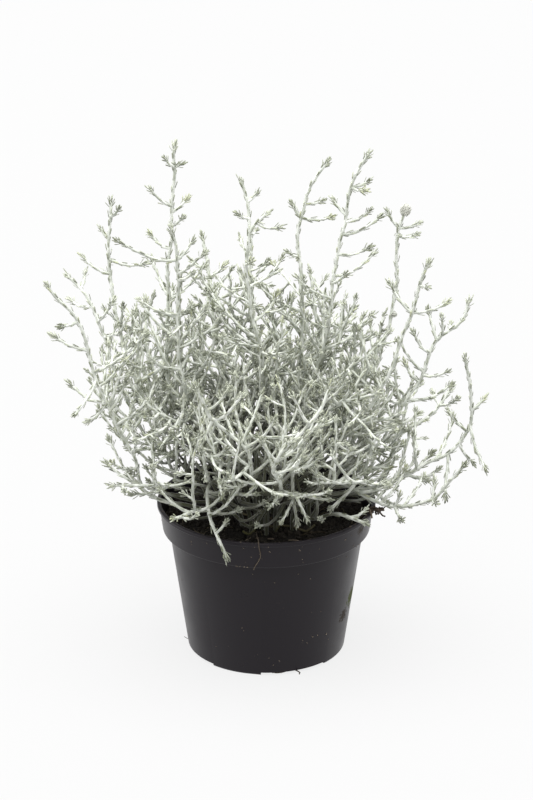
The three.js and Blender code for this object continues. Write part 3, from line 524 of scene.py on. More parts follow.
# %% Routes of the leading shoots and the tips of their arms
# A fourth number on an arm's tip says how far below the tip it leaves the shoot.
LEADING = {
    "tall_left": {
        "route": [(-49, 2, 144), (-54, 4, 175), (-53, 5, 200), (-50, 9, 253), (-48, 12, 284)],
        "arms": [(-62, 2, 263), (-42, 16, 254), (-63, 14, 235), (-44, 0, 249), (-53, 5, 279),
            (-45, 12, 274), (-62, 22, 216)],
    },
    "tall_left_twin": {
        "route": [(-43, -14, 153), (-47, -18, 208), (-46, -20, 232), (-49, -22, 249)],
        "arms": [(-38, -14, 240), (-78, -24, 244), (-32, -26, 237), (-38, -30, 228), (-66, -22, 210)],
    },
    "left_spike": {
        "route": [(-56, 12, 122), (-71, 15, 147), (-80, 18, 178), (-85, 24, 212), (-84, 30, 248)],
        "arms": [(-65, 21, 215, -0.1), (-99, 27, 217), (-79, 21, 246), (-89, 31, 232)],
    },
    "left_second": {
        "route": [(-58, -5, 117), (-74, -4, 143), (-89, -1, 186), (-97, 2, 205), (-107, 5, 214)],
        "arms": [(-98, 11, 215), (-82, -9, 205), (-106, 15, 197)],
    },
    "left_outer": {
        "route": [(-41, -28, 94), (-64, -30, 103), (-72, -32, 126), (-86, -35, 159), (-99, -37, 202),
            (-113, -40, 224)],
        "arms": [(-108, -43, 202), (-112, -33, 193), (-101, -49, 156, -0.6), (-96, -31, 144, -0.5),
            (-105, -25, 164), (-71, -45, 118)],
    },
    "left_inner": {
        "route": [(-26, 25, 164), (-29, 29, 182), (-31, 37, 203), (-35, 45, 223)],
        "arms": [(-23, 38, 209), (-19, 28, 211), (-41, 46, 208)],
    },
    "mid_left": {
        "route": [(-7, 25, 173), (-9, 29, 205), (-9, 36, 236), (-14, 40, 257)],
        "arms": [(-16, 33, 239), (-5, 41, 249), (-14, 47, 221), (0, 29, 214)],
    },
    "mid": {
        "route": [(5, -6, 175), (2, -7, 209), (-1, -9, 242), (1, -10, 254)],
        "arms": [(8, -15, 248), (-5, -5, 242), (9, -1, 226), (-8, -19, 230)],
    },
    "centre_right": {
        "route": [(23, 15, 168), (25, 18, 208), (24, 20, 236), (27, 22, 256), (33, 25, 271)],
        "arms": [(13, 24, 248), (34, 16, 244), (30, 27, 249), (12, 18, 223)],
    },
    "right_tall": {
        "route": [(30, -2, 171), (35, -2, 205), (40, -1, 239), (45, 0, 265), (54, 0, 283)],
        "arms": [(54, 3, 267), (52, -5, 265), (35, 4, 257), (54, -3, 253), (61, 5, 247),
            (54, -8, 234), (58, 10, 225), (43, -12, 221)],
    },
    "bud": {
        "route": [(55, 10, 158), (66, 12, 180), (70, 14, 209), (70, 16, 233), (74, 18, 245)],
        "arms": [(65, 17, 246), (82, 19, 239), (80, 11, 235)],
    },
    "right_second": {
        "route": [(58, -20, 152), (71, -21, 184), (80, -24, 215), (85, -25, 231)],
        "arms": [(85, -28, 219), (65, -17, 217), (95, -18, 208)],
    },
    "right_third": {
        "route": [(54, 5, 116), (81, 6, 149), (92, 8, 176), (105, 9, 188), (109, 10, 198)],
        "arms": [(88, 13, 192), (94, 4, 191), (99, 14, 184), (79, 3, 183), (98, -1, 161), (101, 17, 147)],
    },
    "right_outer": {
        "route": [(64, -12, 100), (88, -13, 113), (107, -16, 129), (110, -18, 150), (106, -20, 176)],
        "arms": [(118, -26, 115, -0.5), (98, -12, 142), (117, -14, 150), (111, -10, 113, -0.3),
            (97, -28, 98, -0.5)],
    },
    "right_mid": {
        "route": [(57, 20, 107), (86, 26, 122), (102, 35, 138)],
        "arms": [(92, 36, 135), (104, 22, 136)],
    },
    "right_trail": {
        "route": [(37, -30, 109), (57, -34, 100), (77, -40, 99), (93, -46, 111), (104, -52, 128)],
        "arms": [(89, -41, 114), (90, -51, 107), (71, -49, 95), (71, -39, 106)],
    },
    "right_low": {
        "route": [(59, 0, 91), (75, 2, 99), (87, 5, 95)],
        "arms": [(94, 7, 100), (83, 11, 108)],
    },
    "rim_hang": {
        "route": [(-29, -40, 114), (-33, -45, 110), (-25, -61, 89), (-21, -66, 81)],
        "arms": [(-21, -61, 100, -0.4)],
    },
    "vee": {
        "route": [(-24, -30, 100), (-15, -33, 89), (-8, -37, 86), (0, -40, 100)],
        "arms": [(-2, -34, 93)],
    },
    "front_rise": {
        "route": [(-15, -35, 101), (1, -45, 110), (19, -55, 129)],
        "arms": [(8, -52, 113), (2, -48, 124), (16, -56, 97, -0.6)],
    },
    "front_fall": {
        "route": [(48, -22, 126), (56, -30, 133), (53, -34, 119), (45, -39, 108), (34, -48, 101)],
        "arms": [(53, -38, 115)],
    },
    "front_low": {
        "route": [(14, -30, 97), (23, -34, 90), (36, -42, 95), (52, -50, 94)],
        "arms": [(52, -42, 97), (27, -48, 106)],
    },
    "front_arch": {
        "route": [(-8, -55, 115), (-10, -80, 141), (-28, -87, 164), (-36, -85, 185)],
        "arms": [(-12, -90, 182), (-33, -83, 155, -0.4), (-20, -85, 183)],
    },
    "front_right_arch": {
        "route": [(8, -58, 118), (5, -85, 145), (25, -85, 168), (33, -83, 185)],
        "arms": [(13, -91, 158), (-2, -93, 159), (13, -95, 184)],
    },
}
print(len(LEADING), "leading shoots with", sum(len(plan["arms"]) for plan in LEADING.values()), "known arms")

# %% The random stream and the lines that stems follow
STREAM_FACTOR = 1664525
STREAM_STEP = 1013904223
STREAM_SIZE = 2 ** 32
STEEP = 0.9


class Stream:
    """Repeatable random numbers from 0 to 1."""

    def __init__(self, seed):
        self.state = seed
        self()
        self()

    def __call__(self):
        self.state = (self.state * STREAM_FACTOR + STREAM_STEP) % STREAM_SIZE
        return self.state / STREAM_SIZE


def smooth_line(points, step):
    """A smooth line through the points that leaves the first one straight up."""
    last = len(points) - 1
    directions = [UP]
    for i in range(1, last + 1):
        directions.append(unit(points[min(i + 1, last)] - points[i - 1]))
    line = [points[0]]
    for i in range(last):
        span = np.linalg.norm(points[i + 1] - points[i])
        count = max(1, math.floor(span / step + 0.5))
        for j in range(1, count + 1):
            t = j / count
            t2 = t * t
            t3 = t2 * t
            line.append((2 * t3 - 3 * t2 + 1) * points[i] + span * (t3 - 2 * t2 + t) * directions[i]
                        + (3 * t2 - 2 * t3) * points[i + 1] + span * (t3 - t2) * directions[i + 1])
    return np.array(line)


def side_directions(direction):
    """Two directions at right angles to a given one and to each other."""
    side = unit(np.cross(direction, (1.0, 0.0, 0.0) if abs(direction[2]) > STEEP else UP))
    return side, np.cross(direction, side)


def distances_along(line):
    return np.concatenate([[0], np.cumsum(np.linalg.norm(np.diff(line, axis=0), axis=1))])


def points_along(line, along, distances):
    """The points and directions at some distances along a line."""
    i = np.clip(np.searchsorted(along, distances, side="left"), 1, len(line) - 1)
    share = np.clip((distances - along[i - 1]) / (along[i] - along[i - 1]), 0, 1)
    run = line[i] - line[i - 1]
    return line[i - 1] + run * share[..., None], run / np.linalg.norm(run, axis=-1)[..., None]


# %% The space that stems hold
class HeldSpace:
    """Pieces of stem, each with two ends, a radius and the shoot that it belongs to."""

    def __init__(self, room=40000):
        self.count = 0
        self.starts = np.zeros((room, 3))
        self.ends = np.zeros((room, 3))
        self.radii = np.zeros(room)
        self.owners = np.zeros(room, int)

    def add(self, pieces):
        for start, end, radius, owner in pieces:
            self.starts[self.count] = start
            self.ends[self.count] = end
            self.radii[self.count] = radius
            self.owners[self.count] = owner
            self.count += 1

    def chosen(self, taken):
        return self.starts[:self.count][taken], self.ends[:self.count][taken], self.radii[:self.count][taken]

    def others(self, owner):
        return self.chosen(self.owners[:self.count] != owner)

    def near(self, point, reach):
        middles = (self.starts[:self.count] + self.ends[:self.count]) / 2
        return self.chosen(np.abs(middles - point).max(axis=1) < reach)


def segment_distances(a, b, starts, ends):
    """Shortest distances from one straight piece of stem to many others."""
    u = b - a
    v = ends - starts
    w = a - starts
    uu = u @ u
    vv = (v * v).sum(axis=1)
    uv = v @ u
    uw = w @ u
    vw = (v * w).sum(axis=1)
    det = uu * vv - uv * uv
    crossing = det > 1e-9
    s = np.where(crossing, np.clip((uv * vw - vv * uw) / np.where(crossing, det, 1), 0, 1), 0)
    t = (uv * s + vw) / vv
    s = np.where(t < 0, np.clip(-uw / uu, 0, 1), np.where(t > 1, np.clip((uv - uw) / uu, 0, 1), s))
    t = np.clip(t, 0, 1)
    return np.linalg.norm(w + s[:, None] * u - t[:, None] * v, axis=1)


held = HeldSpace()


def is_clear(pieces):
    """Pieces of one shoot are clear if they keep the gap from every other shoot."""
    starts, ends, radii = held.others(pieces[0][3])
    return not len(radii) or all((segment_distances(a, b, starts, ends) > radius + radii + STEM_GAP).all()
                                 for a, b, radius, _ in pieces)


def pieces_of(line, radii, owner):
    return [(line[i], line[i + 1], max(radii[i], radii[i + 1]), owner) for i in range(len(line) - 1)]


def end_piece(line, length, radius, owner):
    """The space that a tuft of leaves, or a flower head, takes beyond the end of its stem."""
    return line[-1], line[-1] + unit(line[-1] - line[-2]) * length, radius, owner


def band_pieces(line, owner):
    """The space that a short leafy band takes round a main stem."""
    along = distances_along(line)
    places = along[-1] - np.array(BANDS_BELOW_TIP)
    starts = points_along(line, along, places)[0]
    ends = points_along(line, along, places + LEAF_BAND + LEAF_FORWARD)[0]
    return [(a, b, LEAF_REACH, owner) for a, b in zip(starts, ends)]


def clear_of_pot(point, radius):
    """A stem inside the pot stays above the peat, and one over the wall stays above the rim."""
    reach = math.hypot(point[0], point[1])
    if point[2] - radius > POT_HEIGHT + RIM_CLEARANCE or reach - radius > RIM_RADIUS + RIM_CLEARANCE:
        return True
    inside = COLLAR_FOOT_RADIUS - WALL - MOUTH_CLEARANCE
    return reach + radius < inside and point[2] - radius > SOIL_TOP + SOIL_BUMP + RIM_CLEARANCE


def line_clears_pot(line, radii):
    middles = np.vstack([line[:1], (line[1:] + line[:-1]) / 2])
    return all(clear_of_pot(point, radius)
               for points in (line, middles) for point, radius in zip(points, radii))


# %% Main stems
places_free = []
for i in range(len(LEADING) + RULE_SHOOTS):
    spread = BASE_SPREAD * math.sqrt(i + 0.5)
    turn = i * GOLDEN_ANGLE
    places_free.append(np.array([spread * math.cos(turn), spread * math.sin(turn), SOIL_TOP]))


def lean_of(target):
    return math.atan2(math.hypot(target[0], target[1]), target[2] - SOIL_TOP)


def places_near(target):
    wish = unit(target * (1, 1, 0)) * PLACE_REACH * lean_of(target) + UP * SOIL_TOP
    return sorted(places_free, key=lambda place: np.linalg.norm(place - wish))[:PLACE_CHOICES]


def grow_main(plan, owner):
    """A main stem takes the free place that suits its lean, and shifts until it is clear."""
    route = plan["route"]
    random = Stream(FIRST_SEED + SEED_STEP * owner)
    for base in places_near(route[0]):
        collar = base + UP * COLLAR_RISE
        for attempt in range(SHIFT_TRIES):
            angle = random() * 2 * math.pi
            shift = np.array([math.cos(angle), math.sin(angle), SHIFT_RISE * (random() - 0.5)])
            shift *= SHIFT_STEP * attempt
            points = [point + shift * math.sin(math.pi * i / len(route))
                      for i, point in enumerate([collar, *route])]
            line = smooth_line(points, STATION_STEP)
            radii = lerp(plan["root_radius"], MAIN_TIP_RADIUS, np.arange(len(line)) / (len(line) - 1))
            headed = plan["name"] == HEADED_SHOOT
            end_length, end_radius = (HEAD_REACH, HEAD_REACH / 2) if headed else (CROWN_LENGTH, CROWN_REACH)
            end = end_piece(line, end_length, end_radius, owner)
            pieces = [*pieces_of(line, radii * SKIN_REACH, owner), *band_pieces(line, owner), end]
            free = is_clear(pieces) and line_clears_pot(line[1:], radii[1:] * SKIN_REACH)
            if free and clear_of_pot(end[1], end[2]):
                held.add(pieces)
                places_free[:] = [place for place in places_free if place is not base]
                foot = base - UP * STEM_DEPTH
                return {"name": plan["name"], "owner": owner, "points": points, "random": random, "arms": [],
                        "line": np.vstack([[foot], line]), "root_radius": plan["root_radius"]}
    return None


# %% Side arms
def arm_point(root, tip, share):
    """A point of an arm, which sags a little in its middle."""
    reach = tip - root
    return root + reach * share - UP * ARM_SAG * np.linalg.norm(reach) * 4 * share * (1 - share)


def try_arm(shoot, root, tip, parent_radius, leafy):
    length = np.linalg.norm(tip - root)
    knee = [] if length < SHORT_ARM else [ARM_KNEE]
    band = [1 - CLUSTER_LENGTH / length] if leafy else []
    line = np.array([arm_point(root, tip, share) for share in [0, *knee, *band, 1 - TIP_LENGTH / length]])
    root_radius = min(ARM_ROOT_RADIUS, ARM_GIRTH * parent_radius)
    radii = lerp(root_radius, ARM_TIP_RADIUS, np.arange(len(line)) / (len(line) - 1))
    widest = radii * SKIN_REACH
    widest[len(line) - (2 if leafy else 1):] = CROWN_REACH
    end = end_piece(line, CROWN_LENGTH, CROWN_REACH, shoot["owner"])
    pieces = [*pieces_of(line, widest, shoot["owner"]), end]
    if not (is_clear(pieces) and line_clears_pot(line[1:], widest[1:]) and clear_of_pot(end[1], end[2])):
        return False
    held.add(pieces)
    shoot["arms"].append({"root": root, "tip": tip, "length": length, "root_radius": root_radius})
    return True


def grow_named_arm(shoot, x, y, z, slope=NAMED_SLOPE):
    """An arm to a known tip leaves the shoot below the place that is nearest to the tip."""
    line = shoot["line"]
    along = distances_along(line)
    total = along[-1]
    distances = np.arange(STEM_DEPTH, total + 1e-9, 1.0)
    reached = points_along(line, along, distances)[0]
    for depth in NAMED_DEPTHS:
        tip = np.array([x, y + depth, z], float)
        gaps = np.linalg.norm(reached - tip, axis=1)
        nearest = distances[gaps.argmin()]
        lowest = STEM_DEPTH + 2 * COLLAR_RISE
        distance = min(max(nearest - slope * gaps.min(), lowest), total - CLUSTER_LENGTH)
        root = points_along(line, along, np.array(distance))[0]
        parent_radius = lerp(shoot["root_radius"], MAIN_TIP_RADIUS, distance / total)
        if try_arm(shoot, root, tip, parent_radius, True):
            return


def inside_cushion(point):
    return np.linalg.norm((point - CUSHION_CENTRE) / CUSHION_RADII) < 1


def grow_rule_arms(shoot, count, start, end):
    """Arms by rule turn round the shoot by the golden angle and shorten towards its tip."""
    random = shoot["random"]
    line = shoot["line"]
    along = distances_along(line)
    for i in range(count):
        share = lerp(start, end, (i + 0.5) / count)
        point, direction = points_along(line, along, np.array(share * along[-1]))
        side, other = side_directions(direction)
        parent_radius = lerp(shoot["root_radius"], MAIN_TIP_RADIUS, share)
        for attempt in range(ARM_TRIES):
            turn = i * GOLDEN_ANGLE + random() * (ARM_WANDER["first"] + ARM_WANDER["more"] * attempt)
            lean = math.radians(lerp(*ARM_LEANS, random()))
            size = lerp(*ARM_VARIATION, random()) * (1 - ARM_SHRINK * attempt)
            length = lerp(*ARM_LENGTHS, share) * size
            reach = unit(UP * ARM_LIFT + direction * math.cos(lean)
                         + side * math.sin(lean) * math.cos(turn)
                         + other * math.sin(lean) * math.sin(turn)) * length
            tip = point + reach
            fits = reach[2] > -ARM_DROOP * length and inside_cushion(tip)
            if fits and try_arm(shoot, point, tip, parent_radius, False):
                break


# %% Shoots by rule, which fill the cushion between the leading ones
def rule_route(index):
    """A knee and a tip, turned by the golden share, that lie inside the cushion."""
    random = Stream(FIRST_ROUTE_SEED + SEED_STEP * index)
    sector = math.pi / 2 if index % 2 == 0 else -math.pi / 2
    spread = RULE_SECTOR * (2 * ((index * GOLDEN_SHARE) % 1) - 1)
    turn = sector + spread + RULE_WANDER["turn"] * (random() - 0.5)
    lean = math.acos(lerp(*RULE_RISES, (index + RULE_WANDER["lean"] * random()) / RULE_SHOOTS))
    direction = np.array([math.sin(lean) * math.cos(turn), math.sin(lean) * math.sin(turn), math.cos(lean)])
    reach = lerp(*RULE_REACHES, random()) / np.linalg.norm(direction / CUSHION_RADII)
    tip = CUSHION_CENTRE + direction * reach
    knee = tip * (RULE_KNEE["out"], RULE_KNEE["out"], 0)
    knee[2] = lerp(SOIL_TOP + 3 * COLLAR_RISE, tip[2], RULE_KNEE["up"])
    return [knee, tip]


# %% Grow the frame's stems again
plans = [{"name": name, "route": [np.array(point, float) for point in plan["route"]],
          "root_radius": MAIN_ROOT_RADIUS} for name, plan in LEADING.items()]
plans += [{"name": None, "route": rule_route(i), "root_radius": INNER_ROOT_RADIUS}
          for i in range(RULE_SHOOTS)]
order = sorted(range(len(plans)), key=lambda i: (plans[i]["name"] is None, -lean_of(plans[i]["route"][0])))
shoots = [shoot for shoot in (grow_main(plans[i], i) for i in order) if shoot]
for i, shoot in enumerate(shoot for shoot in shoots if shoot["name"] is None):
    shoot["name"] = f"inner_{i + 1:02d}"
for shoot in shoots:
    for arm in LEADING.get(shoot["name"], {"arms": []})["arms"]:
        grow_named_arm(shoot, *arm)
for shoot in shoots:
    grow_rule_arms(shoot, **(LEADING_RULE_ARMS if shoot["name"] in LEADING else INNER_RULE_ARMS))

worst = 0.0
for shoot in shoots:
    low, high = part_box(f"shoot_{shoot['name']}")
    tips = np.array([shoot["line"][-1], *(arm["tip"] for arm in shoot["arms"])])
    worst = max(worst, *(np.array(low) / MM - tips.min(axis=0)), *(tips.max(axis=0) - np.array(high) / MM))
print(len(shoots), "shoots with", sum(len(shoot["arms"]) for shoot in shoots), "arms")
print("furthest that a grown tip lies outside its solid's box:", round(worst, 2), "mm")

# %% [markdown]
# ## Twigs between the stems
# The solids stop at side arms. A real cushion bush forks three or four times more, until a bird could not
# fly through it, so twigs are grown here on every main stem and arm. A twig turns by the golden angle from
# the last one, leans out widely, bends a little upwards, and is dropped if it would cross a neighbour, the
# pot's wall or the peat, or leave the cushion.

# %% Sizes of the twigs
FINE_STEP = 4
MAIN_RADII = (1.12, 0.88)
ARM_RADII = (0.9, 0.62)
TWIG_RADII = (0.82, 0.56)
SPRIG_RADII = (0.62, 0.5)
TWIG_LIFT = 0.07
TWIG_WOBBLE = 0.21
TWIG_GAP = 0.15
TWIG_TURNS = 4
TWIG_LEANS = (42, 82)
TWIG_SKEW = 1.5
TWIG_TAPER = (1.1, 0.45)
TWIG_SPACINGS = (0.6, 0.8)
TWIGS_ON_MAINS = {"spacing": 5.7, "first": STEM_DEPTH + 8, "last": 10, "lengths": (28, 86),
                  "radii": TWIG_RADII}
TWIGS_ON_ARMS = {"spacing": 8, "first": 6, "last": 8, "lengths": (14, 44), "radii": TWIG_RADII}
SPRIGS_ON_TWIGS = {"spacing": 15, "first": 6, "last": 7, "lengths": (6, 16), "radii": SPRIG_RADII}
TWIG_SEED = 40000
TWIG_CENTRE = np.array([4.0, 0.0, 92.0])
TWIG_CUSHION = np.array([96.0, 96.0, 130.0])
TWIG_CUSHION_LEFT = np.array([158.0, 96.0, 130.0])
TWIG_SLOPES = (0.5, 0.8)
TWIG_FLOOR = 9
MOUTH_FLOOR = 30
NEIGHBOUR_REACH = 12
POT_MARGIN = 1.2

# %% Rules that a twig keeps
def in_twig_cushion(point):
    """The cushion narrows towards the rim, more on the left, where it also reaches further out."""
    reach = math.hypot(point[0], point[1])
    slope = lerp(*TWIG_SLOPES, (1 + point[0] / reach) / 2)
    size = TWIG_CUSHION if point[0] > TWIG_CENTRE[0] else TWIG_CUSHION_LEFT
    return (np.linalg.norm((point - TWIG_CENTRE) / size) < 1
            and reach < RIM_RADIUS + slope * (point[2] - POT_HEIGHT))


def twig_line(start, heading, length, random):
    """A twig in short straight steps, bending up a little and wobbling."""
    count = max(2, round(length / FINE_STEP))
    points = [start]
    for _ in range(count):
        wobble = np.array([random() - 0.5, random() - 0.5, random() - 0.5]) * TWIG_WOBBLE
        heading = unit(heading + UP * TWIG_LIFT + wobble)
        points.append(points[-1] + heading * length / count)
    return np.array(points)


def twig_fits(line, radius):
    """A twig keeps clear of its neighbours, the peat and the pot, and ends inside the cushion."""
    middle = line.mean(axis=0)
    reach = np.abs(line - middle).max() + NEIGHBOUR_REACH
    starts, ends, radii = held.near(middle, reach)
    for i in range(1, len(line) - 1):
        gaps = segment_distances(line[i], line[i + 1], starts, ends)
        if (gaps < radius + radii + TWIG_GAP).any():
            return False
    over_mouth = np.hypot(line[1:, 0], line[1:, 1]) < RIM_RADIUS
    floors = SOIL_TOP + np.where(over_mouth, MOUTH_FLOOR, TWIG_FLOOR)
    return (in_twig_cushion(line[-1]) and (line[1:, 2] > floors).all()
            and all(clear_of_pot(point, radius + POT_MARGIN) for point in line[1:]))


# %% Grow the twigs
def grow_twigs(chain, rule, random):
    """Twigs along one stem, as new stems of the same shoot."""
    along = distances_along(chain["line"])
    grown = []
    distance = rule["first"] + rule["spacing"] * random()
    turn = random() * 2 * math.pi
    while distance < along[-1] - rule["last"]:
        start, direction = points_along(chain["line"], along, np.array(distance))
        side, other = side_directions(direction)
        share = distance / along[-1]
        for _ in range(TWIG_TURNS if in_twig_cushion(start) else 0):
            turn += GOLDEN_ANGLE
            lean = math.radians(lerp(*TWIG_LEANS, random()))
            heading = (direction * math.cos(lean) + side * math.sin(lean) * math.cos(turn)
                       + other * math.sin(lean) * math.sin(turn))
            length = lerp(*rule["lengths"], random() ** TWIG_SKEW) * (TWIG_TAPER[0] - TWIG_TAPER[1] * share)
            line = twig_line(start, heading, length, random)
            if twig_fits(line, rule["radii"][0]):
                held.add(pieces_of(line[1:], np.full(len(line) - 1, rule["radii"][0]), chain["owner"]))
                grown.append({"line": line, "radii": rule["radii"], "owner": chain["owner"], "tuft": 1})
                break
        distance += rule["spacing"] * (TWIG_SPACINGS[0] + TWIG_SPACINGS[1] * random())
    return grown


for shoot in shoots:
    shoot["stream"] = Stream(TWIG_SEED + SEED_STEP * shoot["owner"])
    foot = shoot["line"][:1]
    main = {"line": np.vstack([foot, smooth_line(shoot["points"], FINE_STEP)]), "radii": MAIN_RADII,
            "owner": shoot["owner"], "tuft": 0 if shoot["name"] == HEADED_SHOOT else 2}
    arms = []
    for arm in shoot["arms"]:
        root = main["line"][np.linalg.norm(main["line"] - arm["root"], axis=1).argmin()]
        shares = np.linspace(0, 1, max(3, round(arm["length"] / FINE_STEP)))
        line = np.array([arm_point(root, arm["tip"], share) for share in shares])
        arms.append({"line": line, "radii": ARM_RADII, "owner": shoot["owner"], "tuft": 2})
    shoot["chains"] = [main, *arms]
for shoot in shoots:
    twigs = grow_twigs(shoot["chains"][0], TWIGS_ON_MAINS, shoot["stream"])
    for arm in shoot["chains"][1:]:
        twigs += grow_twigs(arm, TWIGS_ON_ARMS, shoot["stream"])
    shoot["twigs"] = twigs
for shoot in shoots:
    sprigs = [sprig for twig in shoot["twigs"]
              for sprig in grow_twigs(twig, SPRIGS_ON_TWIGS, shoot["stream"])]
    shoot["chains"] += [*shoot["twigs"], *sprigs]

all_chains = [chain for shoot in shoots for chain in shoot["chains"]]
total_length = sum(distances_along(chain["line"])[-1] for chain in all_chains) / 1000
print(len(all_chains), "stems, twigs and sprigs,", round(total_length, 1), "m in all")

# %% [markdown]
# ## Leafy stems by Geometry Nodes
# A stem, its pressed leaves and the tuft at its tip follow one rule, so one node tree makes them all. Its
# host is a mesh of bare lines. The tree turns the lines into smooth curves, sweeps a woolly tube along
# them, sets a leaf every few millimetres, turned by the golden angle, and ends each line in a tuft. The
# leaf is a spindle of twelve triangles, because it is repeated tens of thousands of times.

# %% A leaf and two tufts of leaves
LEAF = {"length": 4.6, "width": 1.3, "keel": 0.45, "curl": 0.2}
LEAF_RINGS = ((0.15, 0.65), (0.78, 0.95))
TUFTS = {
    "small_tuft": {"count": 6, "low": -2.2, "high": -0.4, "tilts": (34, 12), "out": 0.42, "size": 0.74},
    "large_tuft": {"count": 10, "low": -3.4, "high": -0.3, "tilts": (38, 10), "out": 0.5, "size": 0.84},
}
TUFT_CLOSING = 0.6
LEAF_FACES = [(0, 2, 1), (0, 3, 2), (0, 1, 3), (1, 2, 5, 4), (2, 3, 6, 5), (3, 1, 4, 6),
              (4, 5, 7), (5, 6, 7), (6, 4, 7)]


def leaf_points(size=1.0):
    """A leaf that grows along Z with its keel towards X: its base, two rings of three, and its tip."""
    length = LEAF["length"] * size
    points = [(0, 0, 0)]
    for share, wide in LEAF_RINGS:
        bend = LEAF["curl"] * share * share * size
        half = LEAF["width"] / 2 * wide * size
        points += [(bend, half, share * length), (bend, -half, share * length),
                   (bend + LEAF["keel"] * wide * size, 0, share * length)]
    return np.array([*points, (LEAF["curl"] * size, 0, length)])


def turned_points(points, tilt, turn, out, height):
    """Tilts a leaf away from the axis, moves it out and up, and turns it about the axis."""
    c, s = math.cos(tilt), math.sin(tilt)
    tilted = points @ np.array([[c, 0, -s], [0, 1, 0], [s, 0, c]]) + (out, 0, height)
    c, s = math.cos(turn), math.sin(turn)
    return tilted @ np.array([[c, s, 0], [-s, c, 0], [0, 0, 1]])


def joined(shapes):
    """Several shapes as one list of points and faces."""
    points, faces = [], []
    for shape_points, shape_faces in shapes:
        faces += [tuple(corner + len(points) for corner in face) for face in shape_faces]
        points += list(shape_points)
    return points, faces


def leaf_template(name, leaves):
    mesh = mesh_from(name, *joined((leaf, LEAF_FACES) for leaf in leaves))
    point_values(mesh, "leafness", np.ones(len(mesh.vertices)))
    return place(name, mesh)


templates = {"leaf": leaf_template("leaf", [leaf_points()])}
for name, tuft in TUFTS.items():
    leaves = []
    for i in range(tuft["count"]):
        share = i / (tuft["count"] - 1)
        tilt = math.radians(lerp(*tuft["tilts"], share))
        height = lerp(tuft["low"], tuft["high"], share)
        out = tuft["out"] * (1 - TUFT_CLOSING * share)
        leaves.append(turned_points(leaf_points(tuft["size"]), tilt, i * GOLDEN_ANGLE, out, height))
    templates[name] = leaf_template(name, leaves)
print("triangles:", {name: triangles(piece.data) for name, piece in templates.items()})

# %% Helpers that build and run a node tree
def new_tree(name, **inputs):
    """A geometry tree with named inputs, its wiring helper and its input sockets."""
    tree = bpy.data.node_groups.new(name, "GeometryNodeTree")
    tree.interface.new_socket("Geometry", in_out="INPUT", socket_type="NodeSocketGeometry")
    kinds = {float: "Float", int: "Int", bpy.types.Object: "Object", bpy.types.Material: "Material"}
    for label, value in inputs.items():
        socket = tree.interface.new_socket(label.replace("_", " "), in_out="INPUT",
                                           socket_type=f"NodeSocket{kinds[type(value)]}")
        socket.default_value = value
    tree.interface.new_socket("Geometry", in_out="OUTPUT", socket_type="NodeSocketGeometry")
    wire = Wiring(tree)
    return tree, wire, wire("NodeGroupInput").outputs


def run_tree(tree, host_mesh, name, **inputs):
    """Runs a tree on a mesh and keeps the result as a plain mesh."""
    host = place(f"{name}_host", host_mesh)
    modifier = host.modifiers.new(tree.name, "NODES")
    modifier.node_group = tree
    sockets = {item.name: item.identifier for item in tree.interface.items_tree if item.in_out == "INPUT"}
    for label, value in inputs.items():
        modifier[sockets[label.replace("_", " ")]] = value
    depsgraph = bpy.context.evaluated_depsgraph_get()
    made = bpy.data.meshes.new_from_object(host.evaluated_get(depsgraph), preserve_all_data_layers=True,
                                           depsgraph=depsgraph)
    bpy.data.objects.remove(host)
    made.name = name
    return made


# %% Short forms of the nodes that the trees share
def named(wire, name, kind="FLOAT"):
    return wire("GeometryNodeInputNamedAttribute", {"Name": name}, data_type=kind).outputs["Attribute"]


def drawn(wire, low, high, seed):
    """A random number for each point, between two values."""
    node = wire("FunctionNodeRandomValue", {"Min_001": low, "Max_001": high, "Seed": seed}, data_type="FLOAT")
    return node.outputs[1]


def turned_about(wire, rotation, axis, angle):
    """A rotation, turned further about one of its own axes."""
    turn = wire("FunctionNodeAxisAngleToRotation", {"Axis": axis, "Angle": angle}).outputs[0]
    return wire("FunctionNodeRotateRotation", {"Rotation": rotation, "Rotate By": turn},
                rotation_space="LOCAL").outputs[0]


def keep(wire, geometry, name, value, domain="POINT"):
    return wire("GeometryNodeStoreNamedAttribute", {"Geometry": geometry, "Name": name, "Value": value},
                data_type="FLOAT", domain=domain).outputs["Geometry"]


def shape_of(wire, template):
    return wire("GeometryNodeObjectInfo", {"Object": template, "As Instance": True}).outputs["Geometry"]


def merged(wire, *parts):
    """Several geometries as one."""
    join = wire("GeometryNodeJoinGeometry")
    for part in parts:
        wire.tree.links.new(part, join.inputs[0])
    return join.outputs[0]


def end_tree(wire, geometry, smooth, material):
    """Ends a tree: instances become real faces and get their shading and material."""
    real = wire("GeometryNodeRealizeInstances", {"Geometry": geometry}).outputs[0]
    if smooth:
        real = wire("GeometryNodeSetShadeSmooth", {"Geometry": real, "Shade Smooth": True}).outputs[0]
    painted = wire("GeometryNodeSetMaterial", {"Geometry": real, "Material": material}).outputs[0]
    wire("NodeGroupOutput", {"Geometry": painted})


def swept(wire, given, sides):
    """The host's lines as smooth curves, their thickness, and tubes along them."""
    lines = wire("GeometryNodeMeshToCurve", {"Mesh": given["Geometry"]}).outputs["Curve"]
    smooth = wire("GeometryNodeCurveSplineType", {"Curve": lines}, spline_type="CATMULL_ROM").outputs["Curve"]
    curves = wire("GeometryNodeResampleCurve", {"Curve": smooth, "Length": given["Step"]}, mode="LENGTH")
    ring = wire("GeometryNodeCurvePrimitiveCircle", {"Resolution": sides, "Radius": 1.0}, mode="RADIUS")
    thickness = named(wire, "thickness")
    tubes = wire("GeometryNodeCurveToMesh",
                 {"Curve": curves.outputs["Curve"], "Profile Curve": ring.outputs["Curve"],
                  "Scale": thickness, "Fill Caps": True})
    return curves.outputs["Curve"], thickness, tubes.outputs["Mesh"]


